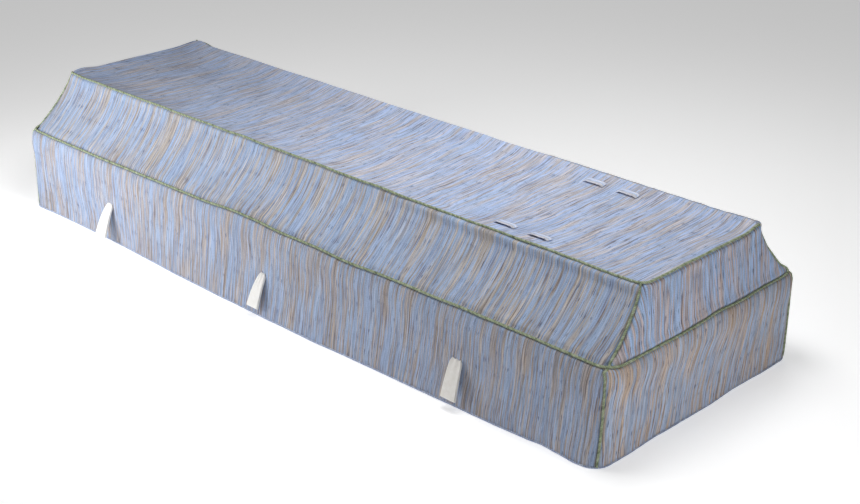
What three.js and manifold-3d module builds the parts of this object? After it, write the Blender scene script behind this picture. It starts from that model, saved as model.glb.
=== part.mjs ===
// A banana leaf coffin: an open box covered in woven leaf cloth, and a hollow hipped lid.
// The lid lifts off and is shown where it rests, on the rim of the box.
// Millimetres, +Z up. The origin is on the floor under the middle of the box. +X runs along
// the coffin towards its narrower end, and -Y is the side that carries handles 1 to 3.
import * as THREE from "three";
import { mergeVertices } from "three/addons/utils/BufferGeometryUtils.js";
import Module from "manifold-3d";

const wasm = await Module();
wasm.setup();

// Plan sizes are measured at the middle of the length, to the middle of the cord.
const EAVE_LENGTH = 1970;
const EAVE_WIDTH = 650;
const EAVE_HEIGHT = 217;
const EAVE_CORNER = 40;
const TOP_LENGTH = 1926;
const TOP_WIDTH = 413;
const TOP_HEIGHT = 350;
const TOP_CORNER = 24;

// The width shrinks by this share of itself from one end of the coffin to the other.
const TAPER = 0.054;

// Box: it swells just under the rim, spreads a little down its long sides and draws in
// down its ends. At the foot, the long sides bow out between the corners.
const SWELL_WIDTH = 662;
const SWELL_LENGTH = 1978;
const SWELL_HEIGHT = 198;
const FOOT_WIDTH = 684;
const FOOT_LENGTH = 1954;
const BOX_CORNER = 36;
const SIDE_BOW = 13;
const HEM_HEIGHT = 8;
const HEM_PROUD = 2;
const BOX_WALL = 12;
const BOX_FLOOR = 12;
const COVE_WIDTH = 6;
const COVE_HEIGHT = 30;

// Lid shell, the hollow of its sides, the round shoulder of its ends and the sag of its top.
const LID_WALL = 9;
const LID_LIP = 4.5;
const SIDE_HOLLOW = 0.45;
const END_SHOULDER = 0.38;
const TOP_SAG = 10;
const EDGE_CHAMFER = 4;

// A twisted cord is sewn into the seams. At the corners it lies in a groove.
const CORD_RADIUS = 3.2;
const CORD_SIDES = 8;
const CORD_PROUD = 0.8;
const BOX_GROOVE = { width: 8.6, depth: 3 };
const LID_GROOVE = { width: 12, depth: 3.6 };
const NO_GROOVE = { width: 8, depth: 0 };

// Webbing handles: a loop that leaves a slit, leans out and hangs to a round fold.
// neck is its width in the slit, reach how far its fold stands off the wall, and lean how
// far its fold lies beyond the slit along the coffin.
const HANDLE_PITCH = 608;
const HANDLE_OFFSET = -4;
const HANDLE_SHAPES = [
  { neck: 19, width: 44, reach: 38, lean: -3 },
  { neck: 16, width: 41, reach: 31, lean: -9 },
  { neck: 24, width: 39, reach: 35, lean: 5 },
];
const SLIT_HEIGHT = 105;
const SLIT_MARGIN = 2;
const SLIT_OPENING = 8.6;
const SLIT_DEPTH = 9;
const STRAP_THICK = 2;
const STRAP_DROP = 78;
const STRAP_FOLD = 4.6;

// Flat cloth loops on the lid's top, two pairs towards the narrower end.
const LOOP_LENGTH = 54;
const LOOP_WIDTH = 16;
const LOOP_THICK = 1.8;
const LOOP_LIFT = 3.2;
const LOOP_RAMP = 9;
const LOOP_FROM_MIDLINE = 156;
const LOOP_FIRST_X = 564;
const LOOP_PITCH = 93;
const LOOP_STAGGER = 8;

// Clearance between pieces that touch.
const GAP = 0.3;

// Steps along a long side and an end of the shells.
const SIDE_STEPS = 12;
const END_STEPS = 4;

// The signs of the four corners, numbered from +X +Y anticlockwise.
const CORNERS = [
  [1, 1],
  [-1, 1],
  [-1, -1],
  [1, -1],
];

// How far round each corner arc its seam lies, unless it strays.
const MIDDLE_SEAMS = [0.5, 0.5, 0.5, 0.5];

const clothMaterial = new THREE.MeshStandardMaterial({
  color: 0x9aabcb,
  roughness: 0.92,
  metalness: 0,
});
const loopMaterial = new THREE.MeshStandardMaterial({
  color: 0xa9b7d6,
  roughness: 0.92,
  metalness: 0,
});
const cordMaterial = new THREE.MeshStandardMaterial({
  color: 0x7d8c5e,
  roughness: 0.8,
  metalness: 0,
});
const webbingMaterial = new THREE.MeshStandardMaterial({
  color: 0xf1efe9,
  roughness: 0.9,
  metalness: 0,
});

const { lerp, smoothstep } = THREE.MathUtils;

// How much of its middle width the coffin has at x.
function taperAt(x) {
  return 1 - (TAPER * x) / EAVE_LENGTH;
}

// Triangles across a ring, turned the same way round as its points.
function fillRing(ring) {
  const normal = new THREE.Vector3();
  ring.forEach((point, i) => {
    normal.add(new THREE.Vector3().crossVectors(point, ring[(i + 1) % ring.length]));
  });
  const up = new THREE.Vector3(0, 0, 1);
  const turn = new THREE.Quaternion().setFromUnitVectors(normal.normalize(), up);
  const flat = ring.map((point) => {
    const turned = point.clone().applyQuaternion(turn);
    return new THREE.Vector2(turned.x, turned.y);
  });
  return THREE.ShapeUtils.triangulateShape(flat, []);
}

// A closed body whose surface runs through rows of points. Each row is a ring, and every
// row has as many points. The first and last rows are capped, or joined if it is a loop.
function loft(rows, isLoop = false) {
  const count = rows[0].length;
  const bands = isLoop ? rows.length : rows.length - 1;
  const index = [];
  for (let row = 0; row < bands; row += 1) {
    const low = row * count;
    const high = ((row + 1) % rows.length) * count;
    for (let i = 0; i < count; i += 1) {
      const next = (i + 1) % count;
      index.push(low + i, low + next, high + next);
      index.push(low + i, high + next, high + i);
    }
  }
  if (!isLoop) {
    const last = (rows.length - 1) * count;
    for (const [a, b, c] of fillRing(rows[0])) {
      index.push(c, b, a);
    }
    for (const [a, b, c] of fillRing(rows[rows.length - 1])) {
      index.push(last + a, last + b, last + c);
    }
  }
  const geometry = new THREE.BufferGeometry().setFromPoints(rows.flat());
  geometry.setIndex(index);
  geometry.computeVertexNormals();
  return geometry;
}

// The direction of an open path at one of its points.
function directionAt(path, i) {
  const before = path[Math.max(i - 1, 0)];
  const after = path[Math.min(i + 1, path.length - 1)];
  return new THREE.Vector3().subVectors(after, before).normalize();
}

// Where a point of a plain rectangle comes to lie: its long sides bow, then it tapers.
function settle(point, { length, width, z, bow = 0 }) {
  const along = point.x / (length / 2);
  const share = point.y / (width / 2);
  const push = bow * share * (1 - along * along) ** 2;
  return new THREE.Vector3(point.x, (point.y + push) * taperAt(point.x), z);
}

// A point a share of the way round a corner arc, sunk into it by a depth.
function arcPoint({ length, width, corner }, number, share, depth = 0) {
  const [sideX, sideY] = CORNERS[number];
  const angle = (Math.PI / 2) * (number + share);
  const centre = new THREE.Vector2(sideX * (length / 2 - corner), sideY * (width / 2 - corner));
  const spoke = new THREE.Vector2(Math.cos(angle), Math.sin(angle));
  return spoke.multiplyScalar(corner - depth).add(centre);
}

// A corner arc with the groove for its cord, if there is one.
function cornerArc(section, number) {
  const { corner, groove = NO_GROOVE, seams = MIDDLE_SEAMS } = section;
  const seam = seams[number];
  const half = Math.min(groove.width / (Math.PI * corner), 0.2);
  const stops = [
    [0, 0],
    [(seam - half) / 2, 0],
    [seam - half, 0],
    [seam - 0.8 * half, groove.depth],
    [seam + 0.8 * half, groove.depth],
    [seam + half, 0],
    [(1 + seam + half) / 2, 0],
    [1, 0],
  ];
  return stops.map(([share, depth]) => arcPoint(section, number, share, depth));
}

// A tapered rectangle with round corners at height z, anticlockwise from above.
function planRing(section, sideSteps = SIDE_STEPS, endSteps = END_STEPS) {
  const outline = [];
  for (let number = 0; number < 4; number += 1) {
    const arc = cornerArc(section, number);
    outline.push(...arc);
    const from = arc[arc.length - 1];
    const to = arcPoint(section, (number + 1) % 4, 0);
    const steps = number % 2 === 0 ? sideSteps : endSteps;
    for (let step = 1; step < steps; step += 1) {
      outline.push(new THREE.Vector2().lerpVectors(from, to, step / steps));
    }
  }
  return outline.map((point) => settle(point, section));
}

// The outer face of the lid from its lip (0) up to the top edge (1). The sides are hollow
// and flare to the eave; the ends drop from a round shoulder.
const LID_LOW_WIDTH = EAVE_WIDTH - 2 * (CORD_RADIUS + GAP);
const LID_LOW_LENGTH = EAVE_LENGTH - 2 * (CORD_RADIUS + GAP);
const LID_LOW_HEIGHT = EAVE_HEIGHT + 0.5;
const LID_HIGH_WIDTH = TOP_WIDTH - 0.6;
const LID_HIGH_LENGTH = TOP_LENGTH - 0.6;
const LID_HIGH_HEIGHT = TOP_HEIGHT - 4;
const LID_BOTTOM = LID_LOW_HEIGHT - LID_LIP;

function lidSlope(rise) {
  const sideShare = (1 + SIDE_HOLLOW) * rise - SIDE_HOLLOW * rise ** 2;
  const endShare = (1 - END_SHOULDER) * rise + END_SHOULDER * rise ** 4;
  return {
    width: lerp(LID_LOW_WIDTH, LID_HIGH_WIDTH, sideShare),
    length: lerp(LID_LOW_LENGTH, LID_HIGH_LENGTH, endShare),
    corner: lerp(EAVE_CORNER, TOP_CORNER, rise),
    z: lerp(LID_LOW_HEIGHT, LID_HIGH_HEIGHT, rise),
    groove: LID_GROOVE,
    seams: [0.5, 0.5, 0.5, lerp(0.44, 0.36, smoothstep(rise, 0, 0.7))],
  };
}

// How far the top has sagged at a share of the way in from its edge to its midline.
function sagAt(share) {
  return TOP_SAG * (1 - (1 - share) ** 4);
}

// The lid's top, as rings from its edge (0) in towards its midline (1).
const TOP_EDGE_INSET = 0.85 * EDGE_CHAMFER;
const TOP_EDGE_WIDTH = LID_HIGH_WIDTH - 2 * TOP_EDGE_INSET;
const TOP_EDGE_LENGTH = LID_HIGH_LENGTH - 2 * TOP_EDGE_INSET;
const TOP_EDGE_HEIGHT = LID_HIGH_HEIGHT + 0.53 * EDGE_CHAMFER;
const TOP_SHARES = [0, 0.1, 0.22, 0.36, 0.54, 0.76, 0.96];

function topRing(share) {
  return {
    width: TOP_EDGE_WIDTH * (1 - share),
    length: TOP_EDGE_LENGTH - TOP_EDGE_WIDTH * share,
    corner: lerp(TOP_CORNER - TOP_EDGE_INSET, 4, share),
    z: TOP_EDGE_HEIGHT - sagAt(share),
  };
}

// Height of the lid's top over a point well inside its ends, on the flats between rings.
function topHeightAt(x, y) {
  const share = 1 - Math.abs(y) / ((TOP_EDGE_WIDTH / 2) * taperAt(x));
  const above = TOP_SHARES.findIndex((value) => value > share);
  const low = TOP_SHARES[above - 1];
  const high = TOP_SHARES[above];
  const mix = (share - low) / (high - low);
  return TOP_EDGE_HEIGHT - lerp(sagAt(low), sagAt(high), mix);
}

// The inside of the lid, a wall's thickness in from its slope.
function lidInside(rise) {
  const outer = lidSlope(rise);
  const lower = lidSlope(rise - 0.01);
  const run = (lower.width - outer.width) / 2;
  const climb = outer.z - lower.z;
  return {
    width: outer.width - 2 * LID_WALL * Math.hypot(1, run / climb),
    length: outer.length - 2 * LID_WALL,
    corner: outer.corner,
    z: outer.z,
  };
}

function buildLid() {
  const slopeSteps = 6;
  const insideTopRise = 0.94;
  const sections = [];
  for (const share of TOP_SHARES.slice(1).reverse()) {
    const ring = topRing(share);
    sections.push({ ...ring, z: ring.z - LID_WALL });
  }
  for (let step = slopeSteps; step >= 0; step -= 1) {
    sections.push(lidInside((insideTopRise * step) / slopeSteps));
  }
  sections.push({
    width: LID_LOW_WIDTH - 2 * LID_WALL,
    length: LID_LOW_LENGTH - 2 * LID_WALL,
    corner: EAVE_CORNER,
    z: LID_BOTTOM,
  });
  sections.push({ ...lidSlope(0), z: LID_BOTTOM });
  for (let step = 0; step <= slopeSteps; step += 1) {
    sections.push(lidSlope(step / slopeSteps));
  }
  for (const share of TOP_SHARES) {
    sections.push(topRing(share));
  }
  return loft(sections.map((section) => planRing(section)));
}

// The outer face of the box from its foot (0) up to where it swells (1).
function boxSide(rise) {
  return {
    width: lerp(FOOT_WIDTH, SWELL_WIDTH, rise),
    length: lerp(FOOT_LENGTH, SWELL_LENGTH, rise),
    corner: BOX_CORNER,
    z: lerp(HEM_HEIGHT, SWELL_HEIGHT, rise),
    bow: SIDE_BOW * (1 - rise),
    groove: BOX_GROOVE,
    seams: [0.5, 0.5, 0.5, lerp(0.5, 0.33, rise * rise)],
  };
}

// A section pushed out all round and moved to height z.
function swollen(section, by, z) {
  return { ...section, width: section.width + 2 * by, length: section.length + 2 * by, z };
}

const HEM_LOW = swollen(boxSide(0), HEM_PROUD, 0.2 * HEM_HEIGHT);
const HEM_HIGH = swollen(boxSide(0), HEM_PROUD, 0.8 * HEM_HEIGHT);
const SHOULDER = {
  ...swollen(boxSide(1), -3.5, SWELL_HEIGHT + 10),
  seams: [0.5, 0.5, 0.5, 0.29],
};
const RIM_HEIGHT = LID_BOTTOM - GAP;
const RIM = {
  ...SHOULDER,
  width: LID_LOW_WIDTH + 2,
  length: LID_LOW_LENGTH + 2,
  z: RIM_HEIGHT,
};

// The walls lean in a little towards the rim, so a cove round the floor keeps it clear of
// them: whatever lies flat on the floor has room.
function boxShell() {
  const foot = boxSide(0);
  const coveTop = boxSide((BOX_FLOOR + COVE_HEIGHT - HEM_HEIGHT) / (SWELL_HEIGHT - HEM_HEIGHT));
  const sections = [
    swollen(foot, 0, 0),
    HEM_LOW,
    HEM_HIGH,
    foot,
    boxSide(0.25),
    boxSide(0.5),
    boxSide(0.75),
    boxSide(1),
    SHOULDER,
    RIM,
    { ...swollen(RIM, -BOX_WALL, RIM_HEIGHT), groove: NO_GROOVE },
    { ...swollen(coveTop, -BOX_WALL, coveTop.z), groove: NO_GROOVE },
    { ...swollen(foot, -BOX_WALL - COVE_WIDTH, BOX_FLOOR), groove: NO_GROOVE },
  ];
  return loft(sections.map((section) => planRing(section)));
}

// Half the width of the box's outer face at x and the slits' height.
function slitFace(x) {
  const section = boxSide((SLIT_HEIGHT - HEM_HEIGHT) / (SWELL_HEIGHT - HEM_HEIGHT));
  return settle(new THREE.Vector2(x, section.width / 2), section).y;
}

// Three handles to a side, numbered from the wide end.
const handlePlaces = [];
for (const side of [-1, 1]) {
  HANDLE_SHAPES.forEach((shape, i) => {
    const x = HANDLE_OFFSET + (i - 1) * HANDLE_PITCH;
    handlePlaces.push({ ...shape, x, side, face: slitFace(x) });
  });
}

function toSolid(geometry) {
  const bare = geometry.clone();
  bare.deleteAttribute("normal");
  bare.deleteAttribute("uv");
  const merged = mergeVertices(bare, 1e-4);
  return new wasm.Manifold(
    new wasm.Mesh({
      numProp: 3,
      vertProperties: merged.attributes.position.array,
      triVerts: new Uint32Array(merged.index.array),
    }),
  );
}

function toGeometry(solid) {
  const mesh = solid.getMesh();
  const geometry = new THREE.BufferGeometry();
  geometry.setAttribute("position", new THREE.BufferAttribute(mesh.vertProperties, 3));
  geometry.setIndex(new THREE.BufferAttribute(mesh.triVerts, 1));
  geometry.computeVertexNormals();
  return geometry;
}

// The box with a blind slit in its wall for each handle.
function buildBase() {
  let solid = toSolid(boxShell());
  for (const { x, side, face, neck } of handlePlaces) {
    const width = neck + 2 * SLIT_MARGIN;
    const cutter = new THREE.BoxGeometry(width, 2 * SLIT_DEPTH, SLIT_OPENING);
    cutter.translate(x, side * face, SLIT_HEIGHT);
    solid = solid.subtract(toSolid(cutter));
  }
  return toGeometry(solid);
}

// The round section of the cord about a point, square to the tangent.
function cordRing(centre, tangent, outward) {
  const across = outward.clone().addScaledVector(tangent, -outward.dot(tangent)).normalize();
  const third = new THREE.Vector3().crossVectors(tangent, across);
  const ring = [];
  for (let side = 0; side < CORD_SIDES; side += 1) {
    const angle = (2 * Math.PI * side) / CORD_SIDES;
    ring.push(
      centre
        .clone()
        .addScaledVector(across, CORD_RADIUS * Math.cos(angle))
        .addScaledVector(third, CORD_RADIUS * Math.sin(angle)),
    );
  }
  return ring;
}

// A cord sewn all round a seam, through the points of a plan ring.
function buildRingCord(section) {
  const path = planRing(section, 1, 1);
  const up = new THREE.Vector3(0, 0, 1);
  const rows = path.map((point, i) => {
    const before = path[(i + path.length - 1) % path.length];
    const after = path[(i + 1) % path.length];
    const tangent = new THREE.Vector3().subVectors(after, before).normalize();
    return cordRing(point, tangent, new THREE.Vector3().crossVectors(tangent, up));
  });
  return loft(rows, true);
}

// A cord up one corner of a shell, in the groove of the sections given from low to high.
// trim shortens its ends along its own length.
function buildCornerCord(sections, number, trim) {
  const onArc = sections.map((section) => {
    return settle(arcPoint(section, number, section.seams[number]), section);
  });
  const path = onArc.map((point, i) => {
    const angle = (Math.PI / 2) * (number + sections[i].seams[number]);
    const across = new THREE.Vector3(-Math.sin(angle), Math.cos(angle), 0);
    const outward = new THREE.Vector3().crossVectors(across, directionAt(onArc, i)).normalize();
    return point.clone().addScaledVector(outward, CORD_PROUD);
  });
  const last = path.length - 1;
  pullBack(path[0], path[1], trim.low);
  pullBack(path[last], path[last - 1], trim.high);
  const rows = path.map((point, i) => {
    const angle = (Math.PI / 2) * (number + sections[i].seams[number]);
    const outward = new THREE.Vector3(Math.cos(angle), Math.sin(angle), 0);
    return cordRing(point, directionAt(path, i), outward);
  });
  return loft(rows);
}

// Moves the end of a path towards its neighbour.
function pullBack(end, neighbour, by) {
  end.addScaledVector(new THREE.Vector3().subVectors(neighbour, end).normalize(), by);
}

// The middle line of a handle, halfway between its two layers, from the slit's mouth to its
// fold. Its points are distances out from the wall, and heights.
function strapMiddle(reach) {
  return new THREE.QuadraticBezierCurve(
    new THREE.Vector2(0, SLIT_HEIGHT),
    new THREE.Vector2(0.26 * reach, SLIT_HEIGHT),
    new THREE.Vector2(reach - STRAP_FOLD, SLIT_HEIGHT - STRAP_DROP + STRAP_FOLD),
  );
}

// One webbing handle: a flat band out of its slit, down, round the fold and back up behind.
function buildHandle({ x, side, face, neck, width, reach, lean }) {
  const middle = strapMiddle(reach);
  const layerSteps = 8;
  const foldSteps = 6;
  // For each station of the band: how far down the middle line it is, and where it lies in
  // the turn from the outer layer (0 degrees) to the inner one (180).
  const stations = [];
  for (let step = 0; step < layerSteps; step += 1) {
    stations.push([step / layerSteps, 0]);
  }
  for (let step = 0; step <= foldSteps; step += 1) {
    stations.push([1, (Math.PI * step) / foldSteps]);
  }
  for (let step = layerSteps - 1; step >= 0; step -= 1) {
    stations.push([step / layerSteps, Math.PI]);
  }
  const band = stations.map(([down, turn]) => {
    const spread = lerp(0.8 * STRAP_THICK, STRAP_FOLD, smoothstep(down, 0, 0.9));
    const tangent = middle.getTangent(down);
    const point = middle.getPoint(down);
    point.addScaledVector(new THREE.Vector2(-tangent.y, tangent.x), spread * Math.cos(turn));
    point.addScaledVector(tangent, spread * Math.sin(turn));
    return { point, down };
  });
  const inSlit = 1 - SLIT_DEPTH;
  const first = band[0].point;
  const final = band[band.length - 1].point;
  band.unshift({ point: new THREE.Vector2(inSlit, first.y), down: 0 });
  band.push({ point: new THREE.Vector2(inSlit, final.y), down: 0 });
  const path = band.map(({ point }) => new THREE.Vector3(0, side * (face + point.x), point.y));
  const across = new THREE.Vector3(1, 0, 0);
  const rows = path.map((centre, i) => {
    const { down } = band[i];
    const half = lerp(neck, width, smoothstep(down, 0.15, 0.75)) / 2;
    const through = new THREE.Vector3().crossVectors(directionAt(path, i), across);
    return [
      [1, -1],
      [1, 1],
      [-1, 1],
      [-1, -1],
    ].map(([u, v]) =>
      centre
        .clone()
        .addScaledVector(across, x + lean * down + u * half)
        .addScaledVector(through, (v * STRAP_THICK) / 2),
    );
  });
  return loft(rows);
}

// One flat cloth loop, lying on the lid at its ends and standing off it between them.
function buildLoop(x, y) {
  const stations = [-1, -0.82, -0.6, -0.3, 0, 0.3, 0.6, 0.82, 1];
  const rows = stations.map((station) => {
    const along = x + (station * LOOP_LENGTH) / 2;
    const fromEnd = (1 - Math.abs(station)) * (LOOP_LENGTH / 2);
    const lift = GAP + 0.2 + LOOP_LIFT * smoothstep(fromEnd, 0, LOOP_RAMP);
    return [
      [-1, 0],
      [1, 0],
      [1, 1],
      [-1, 1],
    ].map(([side, layer]) => {
      const across = y + (side * LOOP_WIDTH) / 2;
      const z = topHeightAt(along, across) + lift + layer * LOOP_THICK;
      return new THREE.Vector3(along, across, z);
    });
  });
  return loft(rows);
}

const coffin = new THREE.Group();

function add(name, geometry, material) {
  const mesh = new THREE.Mesh(geometry, material);
  mesh.name = name;
  coffin.add(mesh);
}

add("base", buildBase(), clothMaterial);
add("lid", buildLid(), clothMaterial);

const topSeam = { width: TOP_WIDTH, length: TOP_LENGTH, corner: TOP_CORNER, z: TOP_HEIGHT };
const eaveSeam = { width: EAVE_WIDTH, length: EAVE_LENGTH, corner: EAVE_CORNER, z: EAVE_HEIGHT };
add("lid_top_piping", buildRingCord(topSeam), cordMaterial);
add("eave_piping", buildRingCord(eaveSeam), cordMaterial);

const hipSections = [0, 1, 2, 3, 4, 5, 6].map((step) => lidSlope(step / 6));
const cornerSections = [HEM_LOW, HEM_HIGH];
for (const rise of [0.15, 0.4, 0.65, 0.85, 1]) {
  cornerSections.push(boxSide(rise));
}
cornerSections.push(SHOULDER);
for (let number = 0; number < 4; number += 1) {
  const hip = buildCornerCord(hipSections, number, { low: 8, high: 6 });
  add(`lid_hip_piping_${number + 1}`, hip, cordMaterial);
  const upright = buildCornerCord(cornerSections, number, { low: 0, high: 1 });
  add(`base_corner_piping_${number + 1}`, upright, cordMaterial);
}

handlePlaces.forEach((place, i) => {
  add(`handle_${i + 1}`, buildHandle(place), webbingMaterial);
});

let loopNumber = 1;
for (const side of [-1, 1]) {
  for (const place of [0, 1]) {
    const x = LOOP_FIRST_X + place * LOOP_PITCH - side * LOOP_STAGGER;
    add(`lid_loop_${loopNumber}`, buildLoop(x, side * LOOP_FROM_MIDLINE), loopMaterial);
    loopNumber += 1;
  }
}

export default coffin;
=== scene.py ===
"""A banana leaf coffin: a cloth-covered box and its lift-off lid, sewn with green cord.

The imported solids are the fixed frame. Every solid is replaced by a finer piece that lies in
the same place: woven cloth shells, twisted cords, webbing handles and cloth loops. Lengths
are metres, +Z is up, +X runs along the coffin towards its narrower end, and the side with
handles 1 to 3 faces -Y.
"""

import logging
import math
from contextlib import contextmanager
from dataclasses import dataclass, field, replace
from enum import Enum
from typing import Callable, ClassVar, Iterator, Sequence

import bmesh
import bpy
import numpy as np
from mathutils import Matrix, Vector


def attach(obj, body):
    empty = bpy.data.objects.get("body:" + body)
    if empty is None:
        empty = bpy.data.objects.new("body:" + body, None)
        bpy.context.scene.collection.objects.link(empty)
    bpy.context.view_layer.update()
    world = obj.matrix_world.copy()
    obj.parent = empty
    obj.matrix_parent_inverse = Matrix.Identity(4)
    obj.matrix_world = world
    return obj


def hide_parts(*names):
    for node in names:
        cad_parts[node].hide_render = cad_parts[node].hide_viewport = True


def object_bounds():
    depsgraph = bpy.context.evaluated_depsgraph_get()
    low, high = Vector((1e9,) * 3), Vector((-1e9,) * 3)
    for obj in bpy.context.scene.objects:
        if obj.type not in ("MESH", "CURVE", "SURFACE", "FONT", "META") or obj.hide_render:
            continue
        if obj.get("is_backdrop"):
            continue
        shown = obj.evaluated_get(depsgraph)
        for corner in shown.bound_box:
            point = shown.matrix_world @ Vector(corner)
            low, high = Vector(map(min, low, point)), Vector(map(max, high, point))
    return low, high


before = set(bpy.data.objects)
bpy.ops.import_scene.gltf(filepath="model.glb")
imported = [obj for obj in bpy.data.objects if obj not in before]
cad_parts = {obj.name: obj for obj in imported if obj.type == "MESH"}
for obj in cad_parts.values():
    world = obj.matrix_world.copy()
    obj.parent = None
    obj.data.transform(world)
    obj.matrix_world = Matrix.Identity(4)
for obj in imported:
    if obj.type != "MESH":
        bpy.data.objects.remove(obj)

LOG = logging.getLogger("coffin")
BODY = "root"
CLOTH_MAP = "Cloth"
QUARTER = math.pi / 2
FULL_TURN = 2 * math.pi

Array = np.ndarray
Socket = bpy.types.NodeSocket
Band = tuple[float, float]
Bump = tuple[float, float, float]


# Measures and plan


def smoothstep(value: Array | float, low: float, high: float) -> Array:
    """Eases from 0 at low to 1 at high."""
    share = np.clip((np.asarray(value, float) - low) / (high - low), 0.0, 1.0)
    return share * share * (3.0 - 2.0 * share)


def bump_at(value: Array | float, middle: float, width: float) -> Array:
    """A soft hump of height 1 at middle, about two widths across."""
    return np.exp(-(((np.asarray(value, float) - middle) / width) ** 2))


def bumps(value: Array, terms: Sequence[Bump]) -> Array:
    """Adds up soft humps, each given by its middle, its width and its height."""
    return sum(height * bump_at(value, middle, width) for middle, width, height in terms)


def between(low: float, high: float, share: float) -> float:
    """The value at a share of the way from low to high."""
    return low + (high - low) * share


def crowded(even: Array, ease: float) -> Array:
    """Draws even shares closer together near 0 and near 1."""
    return even - ease * np.sin(FULL_TURN * even) / FULL_TURN


def run_along(path: Array) -> Array:
    """How far along a path each of its points is."""
    return np.concatenate([[0.0], np.cumsum(np.linalg.norm(np.diff(path, axis=0), axis=1))])


class SoftNoise:
    """Smooth random ground in two directions, the same on every run."""

    def __init__(self, seed: int, cells: int = 64) -> None:
        """Draws the random lattice from its seed."""
        self.cells = cells
        self.lattice = np.random.default_rng(seed).uniform(-1.0, 1.0, (cells, cells))

    def __call__(self, across: Array, along: Array) -> Array:
        """Reads the noise.

        Args:
            across: Position in cells.
            along: Position in cells, square to across.

        Returns:
            A value from -1 to 1 at each position.
        """
        column, row = np.floor(across).astype(int), np.floor(along).astype(int)
        s, t = across - column, along - row
        s, t = s * s * (3 - 2 * s), t * t * (3 - 2 * t)
        right, above = (column + 1) % self.cells, (row + 1) % self.cells
        column, row = column % self.cells, row % self.cells
        low = self.lattice[row, column] * (1 - s) + self.lattice[row, right] * s
        high = self.lattice[above, column] * (1 - s) + self.lattice[above, right] * s
        return low * (1 - t) + high * t


class Panel(Enum):
    """The sewn panels of a shell: four in the order that they run round it, and the flat top."""

    FAR_SIDE = 0
    WIDE_END = 1
    NEAR_SIDE = 2
    NARROW_END = 3
    FLAT = 4


class Zone(Enum):
    """What a strip of a shell is."""

    LINING = "lining"
    WALL = "wall"
    TOP = "top"


def on_sides(panel: Array) -> Array:
    """Which panels are long sides."""
    return (panel == Panel.FAR_SIDE.value) | (panel == Panel.NEAR_SIDE.value)


@dataclass(frozen=True)
class Section:
    """One level of a shell: a tapered rectangle with round corners.

    The bow is how far its long sides curve out, the groove how deep its corner seams are cut,
    from 0 to 1, and the seam how far round its corner arc the near narrow seam lies.
    """

    length: float
    width: float
    corner: float
    z: float
    bow: float = 0.0
    groove: float = 0.0
    seam: float = 0.5

    def swollen(self, by: float, z: float) -> "Section":
        """The section pushed out all round and moved to height z."""
        return replace(self, width=self.width + 2 * by, length=self.length + 2 * by, z=z)

    def ungrooved(self) -> "Section":
        """The section without the grooves of its seams."""
        return replace(self, groove=0.0)

    def drawn_in(self, share: float) -> "Section":
        """A flat ring inside the section, from its edge (0) in to its midline (1).

        Args:
            share: How far in, from 0 to 1.

        Returns:
            The ring.
        """
        return replace(
            self.ungrooved(),
            width=self.width * (1 - share),
            length=self.length - self.width * share,
            corner=self.corner * (1 - share),
            bow=self.bow * (1 - share),
        )


class Levels:
    """The levels of a shell, each with the zone of the strip above it."""

    def __init__(self) -> None:
        """Starts without any."""
        self.sections: list[Section] = []
        self.zones: list[Zone] = []

    def add(self, zone: Zone, *made: Section) -> None:
        """Adds levels that belong to a zone."""
        self.sections += made
        self.zones += [zone] * len(made)

    def within(self, zone: Zone) -> Array:
        """Which levels belong to a zone."""
        return np.array([each is zone for each in self.zones])

    def sizes(self, name: str) -> Array:
        """One size of every level, as a column."""
        return np.array([getattr(level, name) for level in self.sections])[:, None]


@dataclass(frozen=True)
class Build:
    """The plan sizes that the whole coffin shares."""

    eave_length: float = 1.970
    eave_width: float = 0.650
    eave_height: float = 0.217
    eave_corner: float = 0.040
    top_length: float = 1.926
    top_width: float = 0.413
    top_height: float = 0.350
    top_corner: float = 0.024
    taper: float = 0.054
    cord_radius: float = 0.0032
    cord_proud: float = 0.0008

    def taper_at(self, x: Array | float) -> Array | float:
        """How much of its middle width the coffin has at x."""
        return 1.0 - self.taper * x / self.eave_length

    def settle(self, x: Array, y: Array, section: Section) -> tuple[Array, Array]:
        """Bows the long sides of a plain rectangle, then tapers it.

        Args:
            x: Positions along the coffin.
            y: Positions across it.
            section: The level that the points are on.

        Returns:
            The settled x and y.
        """
        along = x / max(section.length / 2, 1e-6)
        share = y / max(section.width / 2, 1e-6)
        push = section.bow * share * (1 - along**2) ** 2
        return x, (y + push) * self.taper_at(x)


BUILD = Build()
CORNER_SIGNS = ((1, 1), (-1, 1), (-1, -1), (1, -1))
FAR_NARROW_CORNER, NEAR_NARROW_CORNER = 0, 3
MID_ARC = 0.5


def seam_share(number: Array, seam: Array | float) -> Array:
    """How far round its arc each corner's seam lies: off the middle at one corner only."""
    return np.where(number == NEAR_NARROW_CORNER, seam, MID_ARC)


def half_span(number: Array, level: Section, corner: Array | float) -> Array:
    """Half the straight stretch of a panel, between its corner arcs."""
    return np.where(number % 2 == 0, level.length, level.width) / 2 - corner


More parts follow.
